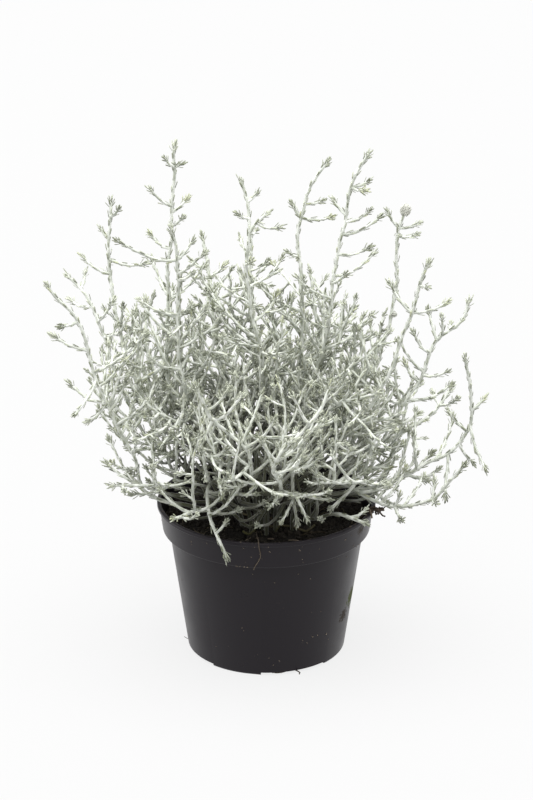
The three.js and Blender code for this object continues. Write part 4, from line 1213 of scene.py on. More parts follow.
# %% The leafy stem tree: leaves and side tufts along the curves
TUBE_SIDES = 6
FULL_TURN = 6.28
TURN_JITTER = 0.9
SUNK = 0.95
PRESSED_LEAVES = {"tilt": 6, "spread": 5, "sizes": (0.62, 1.04)}
SIDE_TUFTS = {"tilt": 48, "spread": 16, "sizes": (0.6, 1.0)}
TIP_SIZES = (0.75, 1.15)
LEAFLESS_AGE = 0.8

stem_tree, wire, given = new_tree(
    "leafy_stem", Step=3.6 * MM, Leaf_spacing=2.3 * MM, Tuft_spacing=11 * MM, Tuft_share=0.11, Seed=7,
    Leaf=templates["leaf"], Small_tuft=templates["small_tuft"], Large_tuft=templates["large_tuft"],
    Material=silver_wool)
curves, thickness, tubes = swept(wire, given, TUBE_SIDES)


def drawn_here(low, high):
    """A random number, in the tree that is being built and with its seed."""
    return drawn(wire, low, high, given["Seed"])


def set_on(points, selection, template, rotation, sizes):
    """A leaf or a tuft on each selected point, with a tint of its own."""
    made = wire("GeometryNodeInstanceOnPoints",
                {"Points": points, "Selection": selection, "Instance": shape_of(wire, template),
                 "Rotation": rotation, "Scale": drawn_here(*sizes)}).outputs[0]
    return keep(wire, made, "tint", drawn_here(0.0, 1.0), "INSTANCE")


def set_along(length, rule, template, selection):
    """Leaves or tufts along the curves, turned by the golden angle and tilted away from the stem."""
    made = wire("GeometryNodeCurveToPoints", {"Curve": curves, "Length": length}, mode="LENGTH")
    index = wire("GeometryNodeInputIndex").outputs[0]
    turn = wire.math("ADD", wire.math("MULTIPLY", index, GOLDEN_ANGLE), drawn_here(0.0, TURN_JITTER))
    turned = turned_about(wire, made.outputs["Rotation"], (0, 0, 1), turn)
    outwards = wire("FunctionNodeRotateVector", {"Vector": (1, 0, 0), "Rotation": turned}).outputs[0]
    out = wire.math("MULTIPLY", thickness, SUNK)
    offset = wire("ShaderNodeVectorMath", {"Vector": outwards, "Scale": out},
                  operation="SCALE").outputs["Vector"]
    points = wire("GeometryNodeSetPosition",
                  {"Geometry": made.outputs["Points"], "Offset": offset}).outputs["Geometry"]
    tilt, spread = math.radians(rule["tilt"]), math.radians(rule["spread"])
    tilted = turned_about(wire, turned, (0, 1, 0), drawn_here(tilt - spread, tilt + spread))
    return set_on(points, selection, template, tilted, rule["sizes"])


leafy = wire("FunctionNodeCompare", {"A": named(wire, "age"), "B": LEAFLESS_AGE}, data_type="FLOAT",
             operation="LESS_THAN").outputs[0]
leaves = set_along(given["Leaf spacing"], PRESSED_LEAVES, given["Leaf"], leafy)
budding = wire("FunctionNodeRandomValue", {"Probability": given["Tuft share"], "Seed": given["Seed"]},
               data_type="BOOLEAN").outputs[3]
side_tufts = set_along(given["Tuft spacing"], SIDE_TUFTS, given["Small tuft"], budding)


# %% The leafy stem tree: a tuft at each tip, and the end of the tree
def tuft_at_tips(kind, template):
    """A tuft on the last point of each curve whose tuft attribute names this kind."""
    ends = wire("GeometryNodeCurveEndpointSelection", {"Start Size": 0, "End Size": 1}).outputs[0]
    chosen = wire("FunctionNodeCompare", {"A": named(wire, "tuft"), "B": float(kind), "Epsilon": 0.1},
                  data_type="FLOAT", operation="EQUAL").outputs[0]
    both = wire("FunctionNodeBooleanMath", {0: ends, 1: chosen}, operation="AND").outputs[0]
    marked = keep(wire, curves, f"tip_{kind}", both)
    made = wire("GeometryNodeCurveToPoints", {"Curve": marked}, mode="EVALUATED")
    turned = turned_about(wire, made.outputs["Rotation"], (0, 0, 1), drawn_here(0.0, FULL_TURN))
    return set_on(made.outputs["Points"], named(wire, f"tip_{kind}"), template, turned, TIP_SIZES)


tip_tufts = [tuft_at_tips(2, given["Large tuft"]), tuft_at_tips(1, given["Small tuft"])]
end_tree(wire, merged(wire, *tip_tufts, side_tufts, leaves, tubes), True, given["Material"])
print(len(stem_tree.nodes), "nodes in the leafy stem tree")

# %% How stems wander, and where they are old or darkened by painted shade
WANDER = {"amount": 1.6, "scale": 17, "seed": 23}
BASE_CALM = (SOIL_TOP + 2, SOIL_TOP + 22)
HEAD_CALM = (6, 26)
OLD_AND_SHADE_RISE = 84
OLD_AND_SHADE_CENTRE = (-16, -10)
OLD_AND_SHADE_REACH = (RIM_RADIUS + 24, RIM_RADIUS - 20)
OLD_AND_SHADE_EDGE = (RIM_RADIUS + 7, RIM_RADIUS - 15)
OLD_AND_SHADE_INSIDE = 1.9
LOW_SHADE_OUTSIDE = 0.46
DEEP_AGE_AND_SHADE = (0.5, 0.5)

headed = next(shoot for shoot in shoots if shoot["name"] == HEADED_SHOOT)
head_tip = headed["line"][-1]
# Without a seed, noise vectors differ from one start of Blender to the next
noise.seed_set(WANDER["seed"])


def smooth_share(value, low, high):
    share = np.clip((value - low) / (high - low), 0, 1)
    return share * share * (3 - 2 * share)


def wandered(line):
    """Real stems are never quite straight. The same field moves every stem, so joints stay together."""
    pushes = np.array([noise.noise_vector(Vector(point) / WANDER["scale"]) for point in line])
    weights = smooth_share(line[:, 2], *BASE_CALM)
    weights *= smooth_share(np.linalg.norm(line - head_tip, axis=1), *HEAD_CALM)
    return line + pushes * weights[:, None] * WANDER["amount"]


def oldness_and_shade(points):
    """Wood is old, with painted shade, low on the plant and above all round a middle in the pot; over the rim
    it is young, with a weaker painted shade low down.
    """
    low = 1 - (points[:, 2] - SOIL_TOP) / OLD_AND_SHADE_RISE
    reach = np.hypot(points[:, 0] - OLD_AND_SHADE_CENTRE[0], points[:, 1] - OLD_AND_SHADE_CENTRE[1])
    inside = np.clip((OLD_AND_SHADE_REACH[0] - reach) / (OLD_AND_SHADE_REACH[0] - OLD_AND_SHADE_REACH[1]), 0, 1)
    over_rim = np.hypot(points[:, 0], points[:, 1])
    inside = np.minimum(inside, np.clip((OLD_AND_SHADE_EDGE[0] - over_rim) / (OLD_AND_SHADE_EDGE[0] - OLD_AND_SHADE_EDGE[1]), 0, 1))
    # Over the mouth, low stems are old wood with painted shade. Everywhere else, low stems get a weaker
    # painted shade.
    return np.maximum(low * OLD_AND_SHADE_INSIDE * inside, low * LOW_SHADE_OUTSIDE)


# %% Run the tree on each shoot
def stem_lines(shoot):
    """The bare lines of one shoot, with each point's thickness, tuft, and age with painted shade."""
    random = shoot["stream"]
    points, edges, thickness, tuft, age = [], [], [], [], []
    for chain in shoot["chains"]:
        first = len(points)
        line = wandered(chain["line"])
        shares = np.linspace(0, 1, len(line))
        points += list(line)
        edges += [(first + i, first + i + 1) for i in range(len(line) - 1)]
        thickness += list(lerp(*chain["radii"], shares) * MM)
        tuft += [chain["tuft"]] * len(line)
        # Stems deep inside the cushion get older wood and painted shade.
        depth = 1 - np.linalg.norm((line - CUSHION_CENTRE) / CUSHION_RADII, axis=1)
        deep = depth * (DEEP_AGE_AND_SHADE[0] + DEEP_AGE_AND_SHADE[1] * random())
        age += list(np.clip(np.maximum(deep, oldness_and_shade(line)), 0, 1))
    mesh = mesh_from(f"lines_{shoot['name']}", points, [], edges)
    point_values(mesh, "thickness", thickness)
    point_values(mesh, "tuft", tuft)
    point_values(mesh, "age", age)
    return mesh


counts = {}
for shoot in shoots:
    name = f"shoot_{shoot['name']}_leafy"
    piece = place(name, run_tree(stem_tree, stem_lines(shoot), name, Seed=shoot["owner"]))
    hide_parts(f"shoot_{shoot['name']}")
    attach(piece, BODY)
    counts[name] = triangles(piece.data)
for template in templates.values():
    bpy.data.objects.remove(template)
print("triangles of the shoots:", sum(counts.values()), "the most in one:", max(counts.values()))

# %% [markdown]
# ## The pot
# A nursery pot is moulded thin and a little soft at every edge, and those small rounds are what catch the
# light on black plastic. It is turned here like clay, from one profile whose corners are rounded in code,
# and the drain holes and the raised sections between the feet are then cut with booleans.

# %% Profile of the pot, as radius, height and the rounding of each corner
BASE_RADIUS = 43.4
FLOOR_THICKNESS = 2.6
BODY_TOP_RADIUS = 53.3
COLLAR_FOOT_Z = 70.7
COLLAR_STEP = 1.6
COLLAR_FLARE = 1.3
LIP_WIDTH = 2.2
LIP_HEIGHT = 2
LIP_UNDERCUT = 0.5
COLLAR_TOP = RIM_RADIUS - COLLAR_FLARE
COLLAR_TOP_Z = POT_HEIGHT - LIP_HEIGHT - LIP_UNDERCUT
OUTSIDE = [
    (BASE_RADIUS, 0, 1.4),
    (BODY_TOP_RADIUS, COLLAR_FOOT_Z - COLLAR_STEP, 0.6),
    (COLLAR_FOOT_RADIUS, COLLAR_FOOT_Z, 0.45),
    (COLLAR_TOP, COLLAR_TOP_Z, 0.3),
    (RIM_RADIUS, POT_HEIGHT - LIP_HEIGHT, 0.35),
    (RIM_RADIUS, POT_HEIGHT, 0.6),
]
INSIDE = [
    (RIM_RADIUS - LIP_WIDTH, POT_HEIGHT, 0.8),
    (COLLAR_TOP - WALL, COLLAR_TOP_Z, 0.8),
    (COLLAR_FOOT_RADIUS - WALL, COLLAR_FOOT_Z + 0.6, 0.8),
    (BODY_TOP_RADIUS - WALL, COLLAR_FOOT_Z - COLLAR_STEP + WALL, 0.8),
    (BASE_RADIUS - WALL, FLOOR_THICKNESS, 1.0),
]
POT_SIDES = 144
ROUND_STEPS = 4


def rounded(corners, first, last):
    """Replaces each corner of a profile by a small curve."""
    bare = [np.array(corner[:2], float) for corner in (first, *corners, last)]
    points = [bare[0]]
    for i, (_, _, size) in enumerate(corners, 1):
        before = bare[i] + unit(bare[i - 1] - bare[i]) * size
        after = bare[i] + unit(bare[i + 1] - bare[i]) * size
        for step in range(ROUND_STEPS + 1):
            t = step / ROUND_STEPS
            points.append((1 - t) ** 2 * before + 2 * t * (1 - t) * bare[i] + t * t * after)
    return [*points, bare[-1]]


def turned_on_axis(profile, sides):
    """Points and faces of a closed solid turned from a profile that starts and ends on the axis."""
    points = [(0, 0, profile[0][1])]
    for radius, height in profile[1:-1]:
        for side in range(sides):
            angle = 2 * math.pi * side / sides
            points.append((radius * math.cos(angle), radius * math.sin(angle), height))
    points.append((0, 0, profile[-1][1]))
    rings = len(profile) - 2
    faces = []
    for side in range(sides):
        ahead = (side + 1) % sides
        faces.append((0, 1 + ahead, 1 + side))
        for ring in range(rings - 1):
            low = 1 + ring * sides
            faces.append((low + side, low + ahead, low + sides + ahead, low + sides + side))
        top = 1 + (rings - 1) * sides
        faces.append((top + side, top + ahead, len(points) - 1))
    return points, faces


def prism(outline, bottom, top):
    """Points and faces of an upright solid with a given outline."""
    count = len(outline)
    points = [(x, y, z) for z in (bottom, top) for x, y in outline]
    sides = [(i, (i + 1) % count, count + (i + 1) % count, count + i) for i in range(count)]
    return points, [tuple(reversed(range(count))), tuple(range(count, 2 * count)), *sides]


# %% Cut the drains and raised sections, and finish the pot
FOOT_COUNT = 4
FIRST_FOOT_ANGLE = -23
RAISED_SECTION = {"angle": 52, "depth": 1.6, "inner": 28, "outer": 50, "steps": 17}
DRAIN = {"circle": 35.5, "radius": 3.4, "sides": 24}
CUT_SPARE = 1
SHARP_ANGLE = math.radians(40)


def on_circle(radius, degrees, centre=(0, 0)):
    angle = math.radians(degrees)
    return centre[0] + radius * math.cos(angle), centre[1] + radius * math.sin(angle)


raised, drains = [], []
for foot in range(FOOT_COUNT):
    middle = FIRST_FOOT_ANGLE - 90 + (foot + 0.5) * 360 / FOOT_COUNT
    half = RAISED_SECTION["angle"] / 2
    angles = np.linspace(middle - half, middle + half, RAISED_SECTION["steps"])
    outline = [on_circle(RAISED_SECTION["outer"], angle) for angle in angles]
    outline += [on_circle(RAISED_SECTION["inner"], angle) for angle in reversed(angles)]
    raised.append(prism(outline, -CUT_SPARE, RAISED_SECTION["depth"]))
    centre = on_circle(DRAIN["circle"], middle)
    outline = [on_circle(DRAIN["radius"], 360 / DRAIN["sides"] * i, centre) for i in range(DRAIN["sides"])]
    drains.append(prism(outline, -CUT_SPARE, FLOOR_THICKNESS + CUT_SPARE))

profile = rounded(OUTSIDE + INSIDE, (0, 0), (0, FLOOR_THICKNESS))
pot = place("pot_moulded", mesh_from("pot_moulded", *turned_on_axis(profile, POT_SIDES)))
for label, shapes in (("raised", raised), ("drains", drains)):
    cutter = place(label, mesh_from(label, *joined(shapes)))
    cut = pot.modifiers.new(label, "BOOLEAN")
    cut.object = cutter
    cut.solver = "EXACT"
    depsgraph = bpy.context.evaluated_depsgraph_get()
    pot.data = bpy.data.meshes.new_from_object(pot.evaluated_get(depsgraph), depsgraph=depsgraph)
    pot.modifiers.clear()
    bpy.data.objects.remove(cutter)
pot.data.polygons.foreach_set("use_smooth", [True] * len(pot.data.polygons))
pot.data.set_sharp_from_angle(angle=SHARP_ANGLE)
pot.data.materials.clear()
pot.data.materials.append(pot_plastic)
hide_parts("pot")
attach(pot, BODY)
print("pot has", triangles(pot.data), "triangles and stands", round(pot.dimensions.z / MM, 1), "mm high")

# %% [markdown]
# ## The peat
# Peat looks black when moist, and its crumbs show only as glints. The surface is one closed solid with
# waves and small bumps. A node tree then scatters angular crumbs over it.

# %% Surface of the peat
# Of the peat's waves: how fast they turn with each mm, and where they start
WAVE_ACROSS = (0.19, 1.3)
WAVE_DEEP = (0.16, -0.4)
# Of the smaller, slanting wave: how fast it turns across and deep
WAVE_SKEW = (0.37, 0.31)
SKEW_SHARE = 0.6
WAVE_HEIGHT = SOIL_BUMP * 0.6
PEAT_BUMPS = ((6, 1.3), (2.2, 0.9))
PEAT_SIDES = 120
PEAT_RINGS = 34
PEAT_CENTRE_RING = 0.6
PEAT_INSET = WALL + 0.6
SHOULDER_DROP = 1.5


def soil_height(x, y):
    """The waves of the solid's own top."""
    waves = math.sin(x * WAVE_ACROSS[0] + WAVE_ACROSS[1]) * math.cos(y * WAVE_DEEP[0] + WAVE_DEEP[1])
    waves += SKEW_SHARE * math.sin(x * WAVE_SKEW[0] - y * WAVE_SKEW[1])
    return SOIL_TOP + WAVE_HEIGHT * waves


def crumbly_height(x, y):
    """The waves with coarse and fine bumps on them."""
    bumps = [noise.noise(Vector((x, y, 0)) / width) * height for width, height in PEAT_BUMPS]
    return soil_height(x, y) + (bumps[0] + bumps[1])


shoulder = COLLAR_FOOT_RADIUS + 0.5 - PEAT_INSET
side_profile = [
    (0, FLOOR_THICKNESS + SEAT_GAP),
    (BASE_RADIUS - PEAT_INSET, FLOOR_THICKNESS + SEAT_GAP),
    (BODY_TOP_RADIUS - PEAT_INSET, COLLAR_FOOT_Z - COLLAR_STEP + WALL + SEAT_GAP),
    (COLLAR_FOOT_RADIUS - PEAT_INSET, COLLAR_FOOT_Z + WALL + SEAT_GAP),
    (shoulder, SOIL_TOP - SHOULDER_DROP),
]
top_profile = [(shoulder * (1 - (ring + PEAT_CENTRE_RING) / PEAT_RINGS), SOIL_TOP)
               for ring in range(PEAT_RINGS)]
points, faces = turned_on_axis([*side_profile, *top_profile, (0, SOIL_TOP)], PEAT_SIDES)
points = [(x, y, crumbly_height(x, y)) if z == SOIL_TOP else (x, y, z) for x, y, z in points]
peat_surface = mesh_from("peat_surface", points, faces)
print("peat rises to", round(max(z for _, _, z in points), 1), "mm")

# %% Crumbs scattered by Geometry Nodes
MANY_SMALL = 3.0
CRUMB = {"seed": 71, "flat": 0.7, "corners": (0.65, 0.7)}


def crumb_template(name):
    """An angular crumb: an icosahedron with its corners pushed about."""
    shape = bmesh.new()
    bmesh.ops.create_icosphere(shape, subdivisions=1, radius=1.0)
    random = Stream(CRUMB["seed"])
    for corner in shape.verts:
        corner.co *= CRUMB["corners"][0] + CRUMB["corners"][1] * random()
        corner.co.z *= CRUMB["flat"]
    mesh = bpy.data.meshes.new(name)
    shape.to_mesh(mesh)
    shape.free()
    return place(name, mesh)


def crumbs_on(wire, given, points, size):
    """One crumb on each point, turned at random."""
    spin = wire("FunctionNodeRandomValue", {"Max": (FULL_TURN,) * 3, "Seed": given["Seed"]},
                data_type="FLOAT_VECTOR")
    turned = wire("FunctionNodeEulerToRotation", {0: spin.outputs[0]}).outputs[0]
    inputs = {"Points": points, "Instance": shape_of(wire, given["Crumb"]), "Rotation": turned, "Scale": size}
    return wire("GeometryNodeInstanceOnPoints", inputs).outputs[0]


crumb = crumb_template("crumb")
crumb_tree, wire, given = new_tree(
    "scattered_crumbs", Smallest=0.35 * MM, Largest=2.3 * MM, Per_area=260000.0,
    Lowest=SOIL_TOP * MM - 3 * MM, Seed=11, Crumb=crumb, Material=peat)
height = wire("ShaderNodeSeparateXYZ", {0: wire("GeometryNodeInputPosition").outputs[0]}).outputs["Z"]
on_top = wire("FunctionNodeCompare", {"A": height, "B": given["Lowest"]}, data_type="FLOAT",
              operation="GREATER_THAN").outputs[0]
spots = wire("GeometryNodeDistributePointsOnFaces",
             {"Mesh": given["Geometry"], "Selection": on_top, "Density": given["Per area"],
              "Seed": given["Seed"]}).outputs["Points"]
small_share = wire.math("POWER", drawn_here(0.0, 1.0), MANY_SMALL)
span = wire.math("SUBTRACT", given["Largest"], given["Smallest"])
size = wire.math("ADD", given["Smallest"], wire.math("MULTIPLY", small_share, span))
tinted = keep(wire, crumbs_on(wire, given, spots, size), "tint", drawn_here(0.0, 1.0), "INSTANCE")
end_tree(wire, merged(wire, tinted, given["Geometry"]), False, given["Material"])
soil = place("peat_crumbly", run_tree(crumb_tree, peat_surface, "peat_crumbly"))
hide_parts("soil")
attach(soil, BODY)
print("peat has", triangles(soil.data), "triangles")

# %% [markdown]
# ## Litter
# Dead stems and fine roots lie on the peat, one root hangs over the front of the rim, and crumbs cling to the
# plastic. Roots are lines that the stem helper sweeps into fibres, and crumbs are points that each get a
# crumb. What lies at a certain place on the real one is listed by its place, and the rest is drawn at random.

# %% Lines of the roots and dead stems, in millimetres
ROOTS = [
    {"thick": 0.24, "tint": 0.35,
     "line": [(-5.3, -27, 77.4), (-4.9, -38.7, 80.2), (-4.4, -50, 84.3), (-4.1, -58.9, 86.5),
              (-4.0, -60.4, 84.9), (-3.6, -58.9, 82.0), (-3.1, -58.5, 79.4), (-3.3, -58.1, 76.9),
              (-4.7, -57.6, 74), (-6.1, -57.2, 71.5), (-6.8, -56.8, 69.4)]},
    {"thick": 0.16, "tint": 0.3, "line": [(-42, -4, 3.3), (-44, -4, 3.0), (-45.8, -3.4, 3.9)]},
    {"thick": 0.16, "tint": 0.2, "line": [(-13, -40.6, 0.3), (-8, -42.4, 0.6), (-3, -43, 0.3)]},
    {"thick": 0.34, "tint": 0.12,
     "line": [(15, -38.6, 1.3), (17.2, -40.4, 1.0), (18.5, -41.6, 0.6), (18, -42.6, 0.4)]},
    {"thick": 0.4, "tint": 0.2, "line": [(2, -38, 0.5), (5, -41.2, 0.5), (10, -40.6, 0.9), (12, -38, 1.2)]},
    {"thick": 0.7, "tint": 0.2, "olive": 0.5, "lift": 1.4,
     "line": [(-16.9, 4), (-4.9, -8), (2, -15.5), (10.2, -18), (16.7, -23.5), (21, -24.8), (23.6, -21.5),
              (26.2, -16)]},
    {"thick": 0.7, "olive": 0.95, "lift": 2.0,
     "line": [(0.6, 4), (-4.5, -14), (-6.5, -21), (-9.5, -29), (-12.6, -27)]},
    {"thick": 0.4, "olive": 0.9, "lift": 2.4, "line": [(10, -12), (7, -19), (5.2, -27)]},
    {"thick": 0.45, "tint": 0.5, "lift": 0.6,
     "line": [(-11.5, -33), (-7.8, -31), (-3, -33.5), (0.3, -32), (4, -34)]},
    {"thick": 0.3, "tint": 0.6, "lift": 0.8, "line": [(12, -35), (16, -34), (20, -35.5)]},
    {"thick": 0.55, "tint": 0.16,
     "line": [(49, -15, 77.5), (53, -17, 84), (56, -18.5, 87.3), (60.5, -18, 87.2), (64, -16, 86.4)]},
    {"thick": 0.4, "tint": 0.1, "line": [(58, -18.2, 87.4), (60, -20.5, 88.6), (61.8, -19.5, 86.6)]},
    {"thick": 0.45, "tint": 0.08, "line": [(61, -17.8, 87), (63, -19, 84.6), (64.5, -18, 83.6)]},
    {"thick": 0.35, "tint": 0.12, "line": [(63, -16.6, 86.6), (65, -14.5, 88.2), (66.5, -13.5, 87.2)]},
    {"thick": 0.5, "tint": 0.6, "line": [(55.5, -18.2, 88.6), (56.6, -19.4, 86.9), (57.4, -20.6, 83.6)]},
]
FIBRES = {"count": 60, "reach": 50, "lengths": (4, 15), "bend": 1.6, "lift": 1.2, "gap": 0.3,
          "thick": (0.1, 0.3), "tint": (0.06, 0.36), "olive": 0.5, "points": 5, "seed": 911}


def peat_fibre(random):
    """A thin root that lies on the peat in a low arch."""
    angle = random() * 2 * math.pi
    reach = FIBRES["reach"] * math.sqrt(random())
    heading = random() * 2 * math.pi
    length = lerp(*FIBRES["lengths"], random())
    bend = (random() - 0.5) * FIBRES["bend"]
    points = []
    for share in np.linspace(-0.5, 0.5, FIBRES["points"]):
        turn = heading + bend * share
        x = reach * math.cos(angle) + length * share * math.cos(turn)
        y = reach * math.sin(angle) + length * share * math.sin(turn)
        points.append((x, y, crumbly_height(x, y) + FIBRES["gap"] + FIBRES["lift"] * (1 - 4 * share * share)))
    return {"thick": lerp(*FIBRES["thick"], random()), "tint": lerp(*FIBRES["tint"], random() ** 2),
            "olive": FIBRES["olive"] * random(), "line": points}


def laid(root):
    """A root whose points give no height lies on the peat."""
    line = [(*at[:2], crumbly_height(*at) + root["lift"]) if len(at) == 2 else at for at in root["line"]]
    return {**root, "line": line}


random = Stream(FIBRES["seed"])
lines = [*map(laid, ROOTS), *(peat_fibre(random) for _ in range(FIBRES["count"]))]
points, edges = joined([(line["line"], [(i, i + 1) for i in range(len(line["line"]) - 1)]) for line in lines])
root_lines = mesh_from("root_lines", points, [], edges)
for label, default in (("tint", 0.0), ("olive", 0.0)):
    point_values(root_lines, label, [line.get(label, default) for line in lines for _ in line["line"]])
point_values(root_lines, "thickness", [line["thick"] * MM for line in lines for _ in line["line"]])
print(len(lines), "roots and dead stems")

# %% Fibres and clinging crumbs by Geometry Nodes
fibre_tree, wire, given = new_tree("fibres", Step=1.4 * MM, Material=dry_litter)
end_tree(wire, swept(wire, given, TUBE_SIDES)[2], True, given["Material"])

placed_tree, wire, given = new_tree("placed_crumbs", Seed=5, Crumb=crumb, Material=dry_litter)
made = crumbs_on(wire, given, given["Geometry"], named(wire, "size"))
end_tree(wire, made, False, given["Material"])
print("nodes:", len(fibre_tree.nodes), "for the fibres and", len(placed_tree.nodes), "for the crumbs")

# %% Crumbs seen on the front of the real pot, as angle, height and size, and in a clump on its rim
SPECKS = [(-112, 70.7, 0.42), (-106, 70.6, 0.5), (-104.5, 70.8, 0.4), (-102, 70.7, 0.34), (-100.3, 70.7, 0.5),
          (-98, 77, 0.3), (-88, 80.6, 0.42), (-85, 59.4, 0.34), (-72, 80.2, 0.45), (-71, 63.7, 0.28),
          (-70, 72.5, 0.26), (-63, 59.4, 0.34), (-98, 64.7, 0.22), (-96, 83.6, 0.36), (-89, 84, 0.34),
          (-102, 82.2, 0.34), (-71, 82.3, 0.26), (-134, 79, 0.32), (-123, 81.5, 0.3), (-43, 79.4, 0.42),
          (-38, 80.2, 0.3), (-35, 72.6, 0.36), (-31, 70.6, 0.5), (-28, 70.7, 0.36), (-34, 64.6, 0.32),
          (-43, 66.5, 0.24), (-106, 29.8, 0.26), (-105, 28.3, 0.32), (-57, 21.3, 0.5), (-53, 21.2, 0.36),
          (-45, 19.7, 0.5), (-42, 15.6, 0.34), (-65, 20.5, 0.3), (-61, 17.9, 0.3), (-88, 11.2, 0.22),
          (-85, 6.7, 0.4), (-81, 9.1, 0.34)]
CLUMP = [(57, -17.5, 87.9, 1.1), (58.5, -16.6, 87.6, 1.3), (59.4, -18.3, 87.9, 1.2), (60.6, -17.2, 87.3, 1.0),
         (61.4, -18.6, 86.6, 0.9), (56, -19.1, 87.3, 1.0), (62.2, -16.6, 87.3, 0.8), (59.8, -15.5, 87, 1.0),
         (57.6, -19.5, 86.8, 0.9), (58.4, -18, 89, 1.0), (59.6, -19.6, 85.9, 0.8), (60.8, -18.4, 85.4, 0.7)]
CLUMP_FILL = {"count": 34, "from": (55.5, -17, 87), "to": (63.5, -16.5, 86.2), "spread": 2.4,
              "sizes": (0.4, 1.2)}
UNDER_FOOT = [(1, -40.6, 0.5, 0.5), (3.6, -40.9, 0.5, 0.55), (5.4, -40.5, 0.6, 0.6), (8.4, -40.6, 0.4, 0.4)]
DUST_SEED = 77
SPECK = {"size": 0.75, "tint": (0.5, 1.1)}
BESIDE = {"count": 2, "angle": 1.6, "height": 1.1, "size": 0.45, "tint": (0.3, 0.9)}
CLUMP_TINT = (0.03, 0.13)
FILL_TINT = (0.02, 0.32)
FILL_SINK = 0.3
SIDE_DUST = {"count": 90, "collar_share": 0.6, "collar": (71, 84), "body": (4, 64), "low": 1.5,
             "size": (0.1, 0.3), "tint": (0.3, 0.7)}
RIM_DUST = {"count": 70, "inset": 0.5, "width": 1.5, "size": (0.14, 0.44), "tint": (0.15, 0.5)}
SPECK_LIFT = 0.2
OUTSIDE_HEIGHTS = [corner[1] for corner in OUTSIDE]
OUTSIDE_RADII = [corner[0] for corner in OUTSIDE]


def on_side(angle, height, size):
    """A crumb on the pot's side: its centre and its size."""
    x, y = on_circle(np.interp(height, OUTSIDE_HEIGHTS, OUTSIDE_RADII) + SPECK_LIFT * size, angle)
    return x, y, height, size


# %% Place the crumbs, each with its size and tint
random = Stream(DUST_SEED)
specks = []
for angle, height, size in SPECKS:
    specks.append((*on_side(angle, height, SPECK["size"] * size), lerp(*SPECK["tint"], random())))
    for _ in range(BESIDE["count"]):
        turned = angle + BESIDE["angle"] * (random() - 0.5)
        moved = height + BESIDE["height"] * (random() - 0.5)
        specks.append((*on_side(turned, moved, BESIDE["size"] * size), lerp(*BESIDE["tint"], random())))
specks += [(*crumb_row, lerp(*CLUMP_TINT, random())) for crumb_row in CLUMP + UNDER_FOOT]
for _ in range(CLUMP_FILL["count"]):
    x, y, z = lerp(np.array(CLUMP_FILL["from"]), np.array(CLUMP_FILL["to"]), random())
    y += CLUMP_FILL["spread"] * (random() - 0.5)
    z += CLUMP_FILL["spread"] * (random() - FILL_SINK)
    specks.append((x, y, z, lerp(*CLUMP_FILL["sizes"], random() ** 2), lerp(*FILL_TINT, random() ** 3)))
for _ in range(SIDE_DUST["count"]):
    if random() < SIDE_DUST["collar_share"]:
        height = lerp(*SIDE_DUST["collar"], random())
    else:
        height = lerp(*SIDE_DUST["body"], random() ** SIDE_DUST["low"])
    speck = on_side(360 * random(), height, lerp(*SIDE_DUST["size"], random() ** 2))
    specks.append((*speck, lerp(*SIDE_DUST["tint"], random())))
for _ in range(RIM_DUST["count"]):
    x, y = on_circle(RIM_RADIUS - RIM_DUST["inset"] - RIM_DUST["width"] * random(), 360 * random())
    size = lerp(*RIM_DUST["size"], random() ** 2)
    specks.append((x, y, POT_HEIGHT, size, lerp(*RIM_DUST["tint"], random())))
speck_points = mesh_from("speck_points", [speck[:3] for speck in specks], [])
point_values(speck_points, "size", [speck[3] * MM for speck in specks])
point_values(speck_points, "tint", [speck[4] for speck in specks])
LOOSE = (("roots_and_stems", fibre_tree, root_lines), ("clinging_crumbs", placed_tree, speck_points))
for name, tree, host in LOOSE:
    piece = place(name, run_tree(tree, host, name))
    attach(piece, BODY)
    print(name, "has", triangles(piece.data), "triangles")
bpy.data.objects.remove(crumb)

# %% [markdown]
# ## The flower head
# A cushion bush bears small balls of flowers wrapped in dry overlapping bracts. Like the leaves, they
# follow the golden angle, which is the same rule a sunflower packs its seeds by. Each bract sits on an egg
# whose profile is the solid's own.

# %% Bracts on an egg
HEAD_PROFILE = np.array([[0, 1.1], [1.6, 1.9], [3.7, 2.45], [5.2, 2.3], [6.3, 1.3]])
BRACTS = 60
YOUNG_HEAD = {"height": 188, "towards": (0.9, -0.4, 0.5), "size": 0.55, "bracts": 26}
BRACT = {"length": 2.5, "width": 1.15, "thick": 0.3, "back": 0.4, "tilt": math.radians(10),
         "sizes": (1.05, 0.35)}
BRACT_RINGS = ((0.0, 0.5), (0.45, 1.0), (0.8, 0.8))
BRACT_FACES = [(3, 2, 1, 0), *[(4 * r + a, 4 * r + b, 4 * r + 4 + b, 4 * r + 4 + a)
                               for r in range(2) for a, b in ((0, 1), (1, 2), (2, 3), (3, 0))],
               (8, 9, 12), (9, 10, 12), (10, 11, 12), (11, 8, 12)]
EGG = {"sides": 16, "top": 6.6, "core": 0.9, "seat": 0.93, "sink": 0.6, "rows": (0.2, 5.6), "probe": 0.3}


def egg_radius(height):
    return np.interp(height, HEAD_PROFILE[:, 0], HEAD_PROFILE[:, 1])


def frame_of(direction):
    side, other = side_directions(direction)
    return np.array([side, other, direction])


def bract_points(size):
    """A bract that grows along Z with its back towards X, closed all round."""
    out = BRACT["thick"] * size
    points = []
    for share, wide in BRACT_RINGS:
        half = BRACT["width"] / 2 * wide * size
        height = share * BRACT["length"] * size
        back = half * BRACT["back"]
        points += [(0, half, height), (0, -half, height), (out, -back, height), (out, back, height)]
    return np.array([*points, (out / 2, 0, BRACT["length"] * size)])


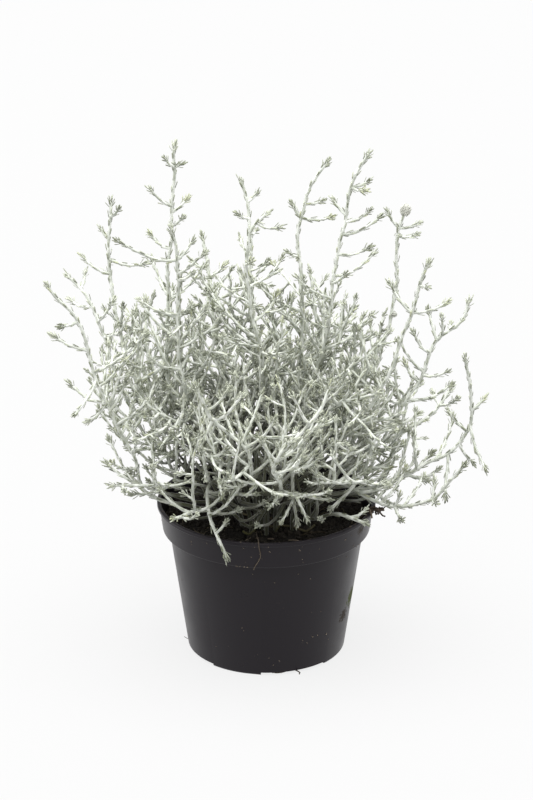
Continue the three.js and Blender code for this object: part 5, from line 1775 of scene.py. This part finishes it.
def flower_head(name, base, direction, size, count):
    """A ball of bracts on an egg, in the golden-angle order."""
    egg = [(radius * size, height * size) for height, radius in HEAD_PROFILE]
    core = [(radius * EGG["core"], height) for radius, height in ((0, 0), *egg, (0, EGG["top"] * size))]
    shapes = [turned_on_axis(core, EGG["sides"])]
    along = [0.1] * len(shapes[0][0])
    for i in range(count):
        share = (i + 0.5) / count
        height = (EGG["rows"][0] + EGG["rows"][1] * share) * size
        radius = egg_radius(height / size) * size * EGG["seat"]
        probes = [egg_radius(height / size + step) for step in (EGG["probe"], -EGG["probe"])]
        tilt = math.atan((probes[0] - probes[1]) / (2 * EGG["probe"])) + BRACT["tilt"]
        bract = bract_points(size * (BRACT["sizes"][0] - BRACT["sizes"][1] * share))
        low = height - EGG["sink"] * size
        shapes.append((turned_points(bract, tilt, i * GOLDEN_ANGLE, radius, low), BRACT_FACES))
        along += list(0.35 + 0.65 * bract[:, 2] / bract[:, 2].max() * (0.5 + 0.5 * share))
    points, faces = joined(shapes)
    points = np.array(points) @ frame_of(direction) + base
    mesh = mesh_from(name, points, faces)
    point_values(mesh, "along", along)
    mesh.materials.append(pale_scales)
    piece = place(name, mesh)
    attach(piece, BODY)
    return piece


direction = unit(headed["line"][-1] - headed["line"][-2])
base = headed["line"][-1] + direction * (SEAT_GAP - HEAD_SOCKET_DEPTH)
head = flower_head("flower_head_bracts", base, direction, 1.0, BRACTS)
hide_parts("flower_head")

stem_line = wandered(headed["chains"][0]["line"])
young_base = stem_line[np.abs(stem_line[:, 2] - YOUNG_HEAD["height"]).argmin()]
flower_head("flower_head_young", young_base, unit(np.array(YOUNG_HEAD["towards"])), YOUNG_HEAD["size"],
            YOUNG_HEAD["bracts"])
print("flower head has", triangles(head.data), "triangles, height", round(head.dimensions.z / MM, 1), "mm")

# %% Print both boxes and finish
sizes = {"cad": [list(corner) for corner in cad_box], "visual": [list(corner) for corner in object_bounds()]}
for name, box in sizes.items():
    print(name, "box in mm:", [[round(x / MM) for x in corner] for corner in box])
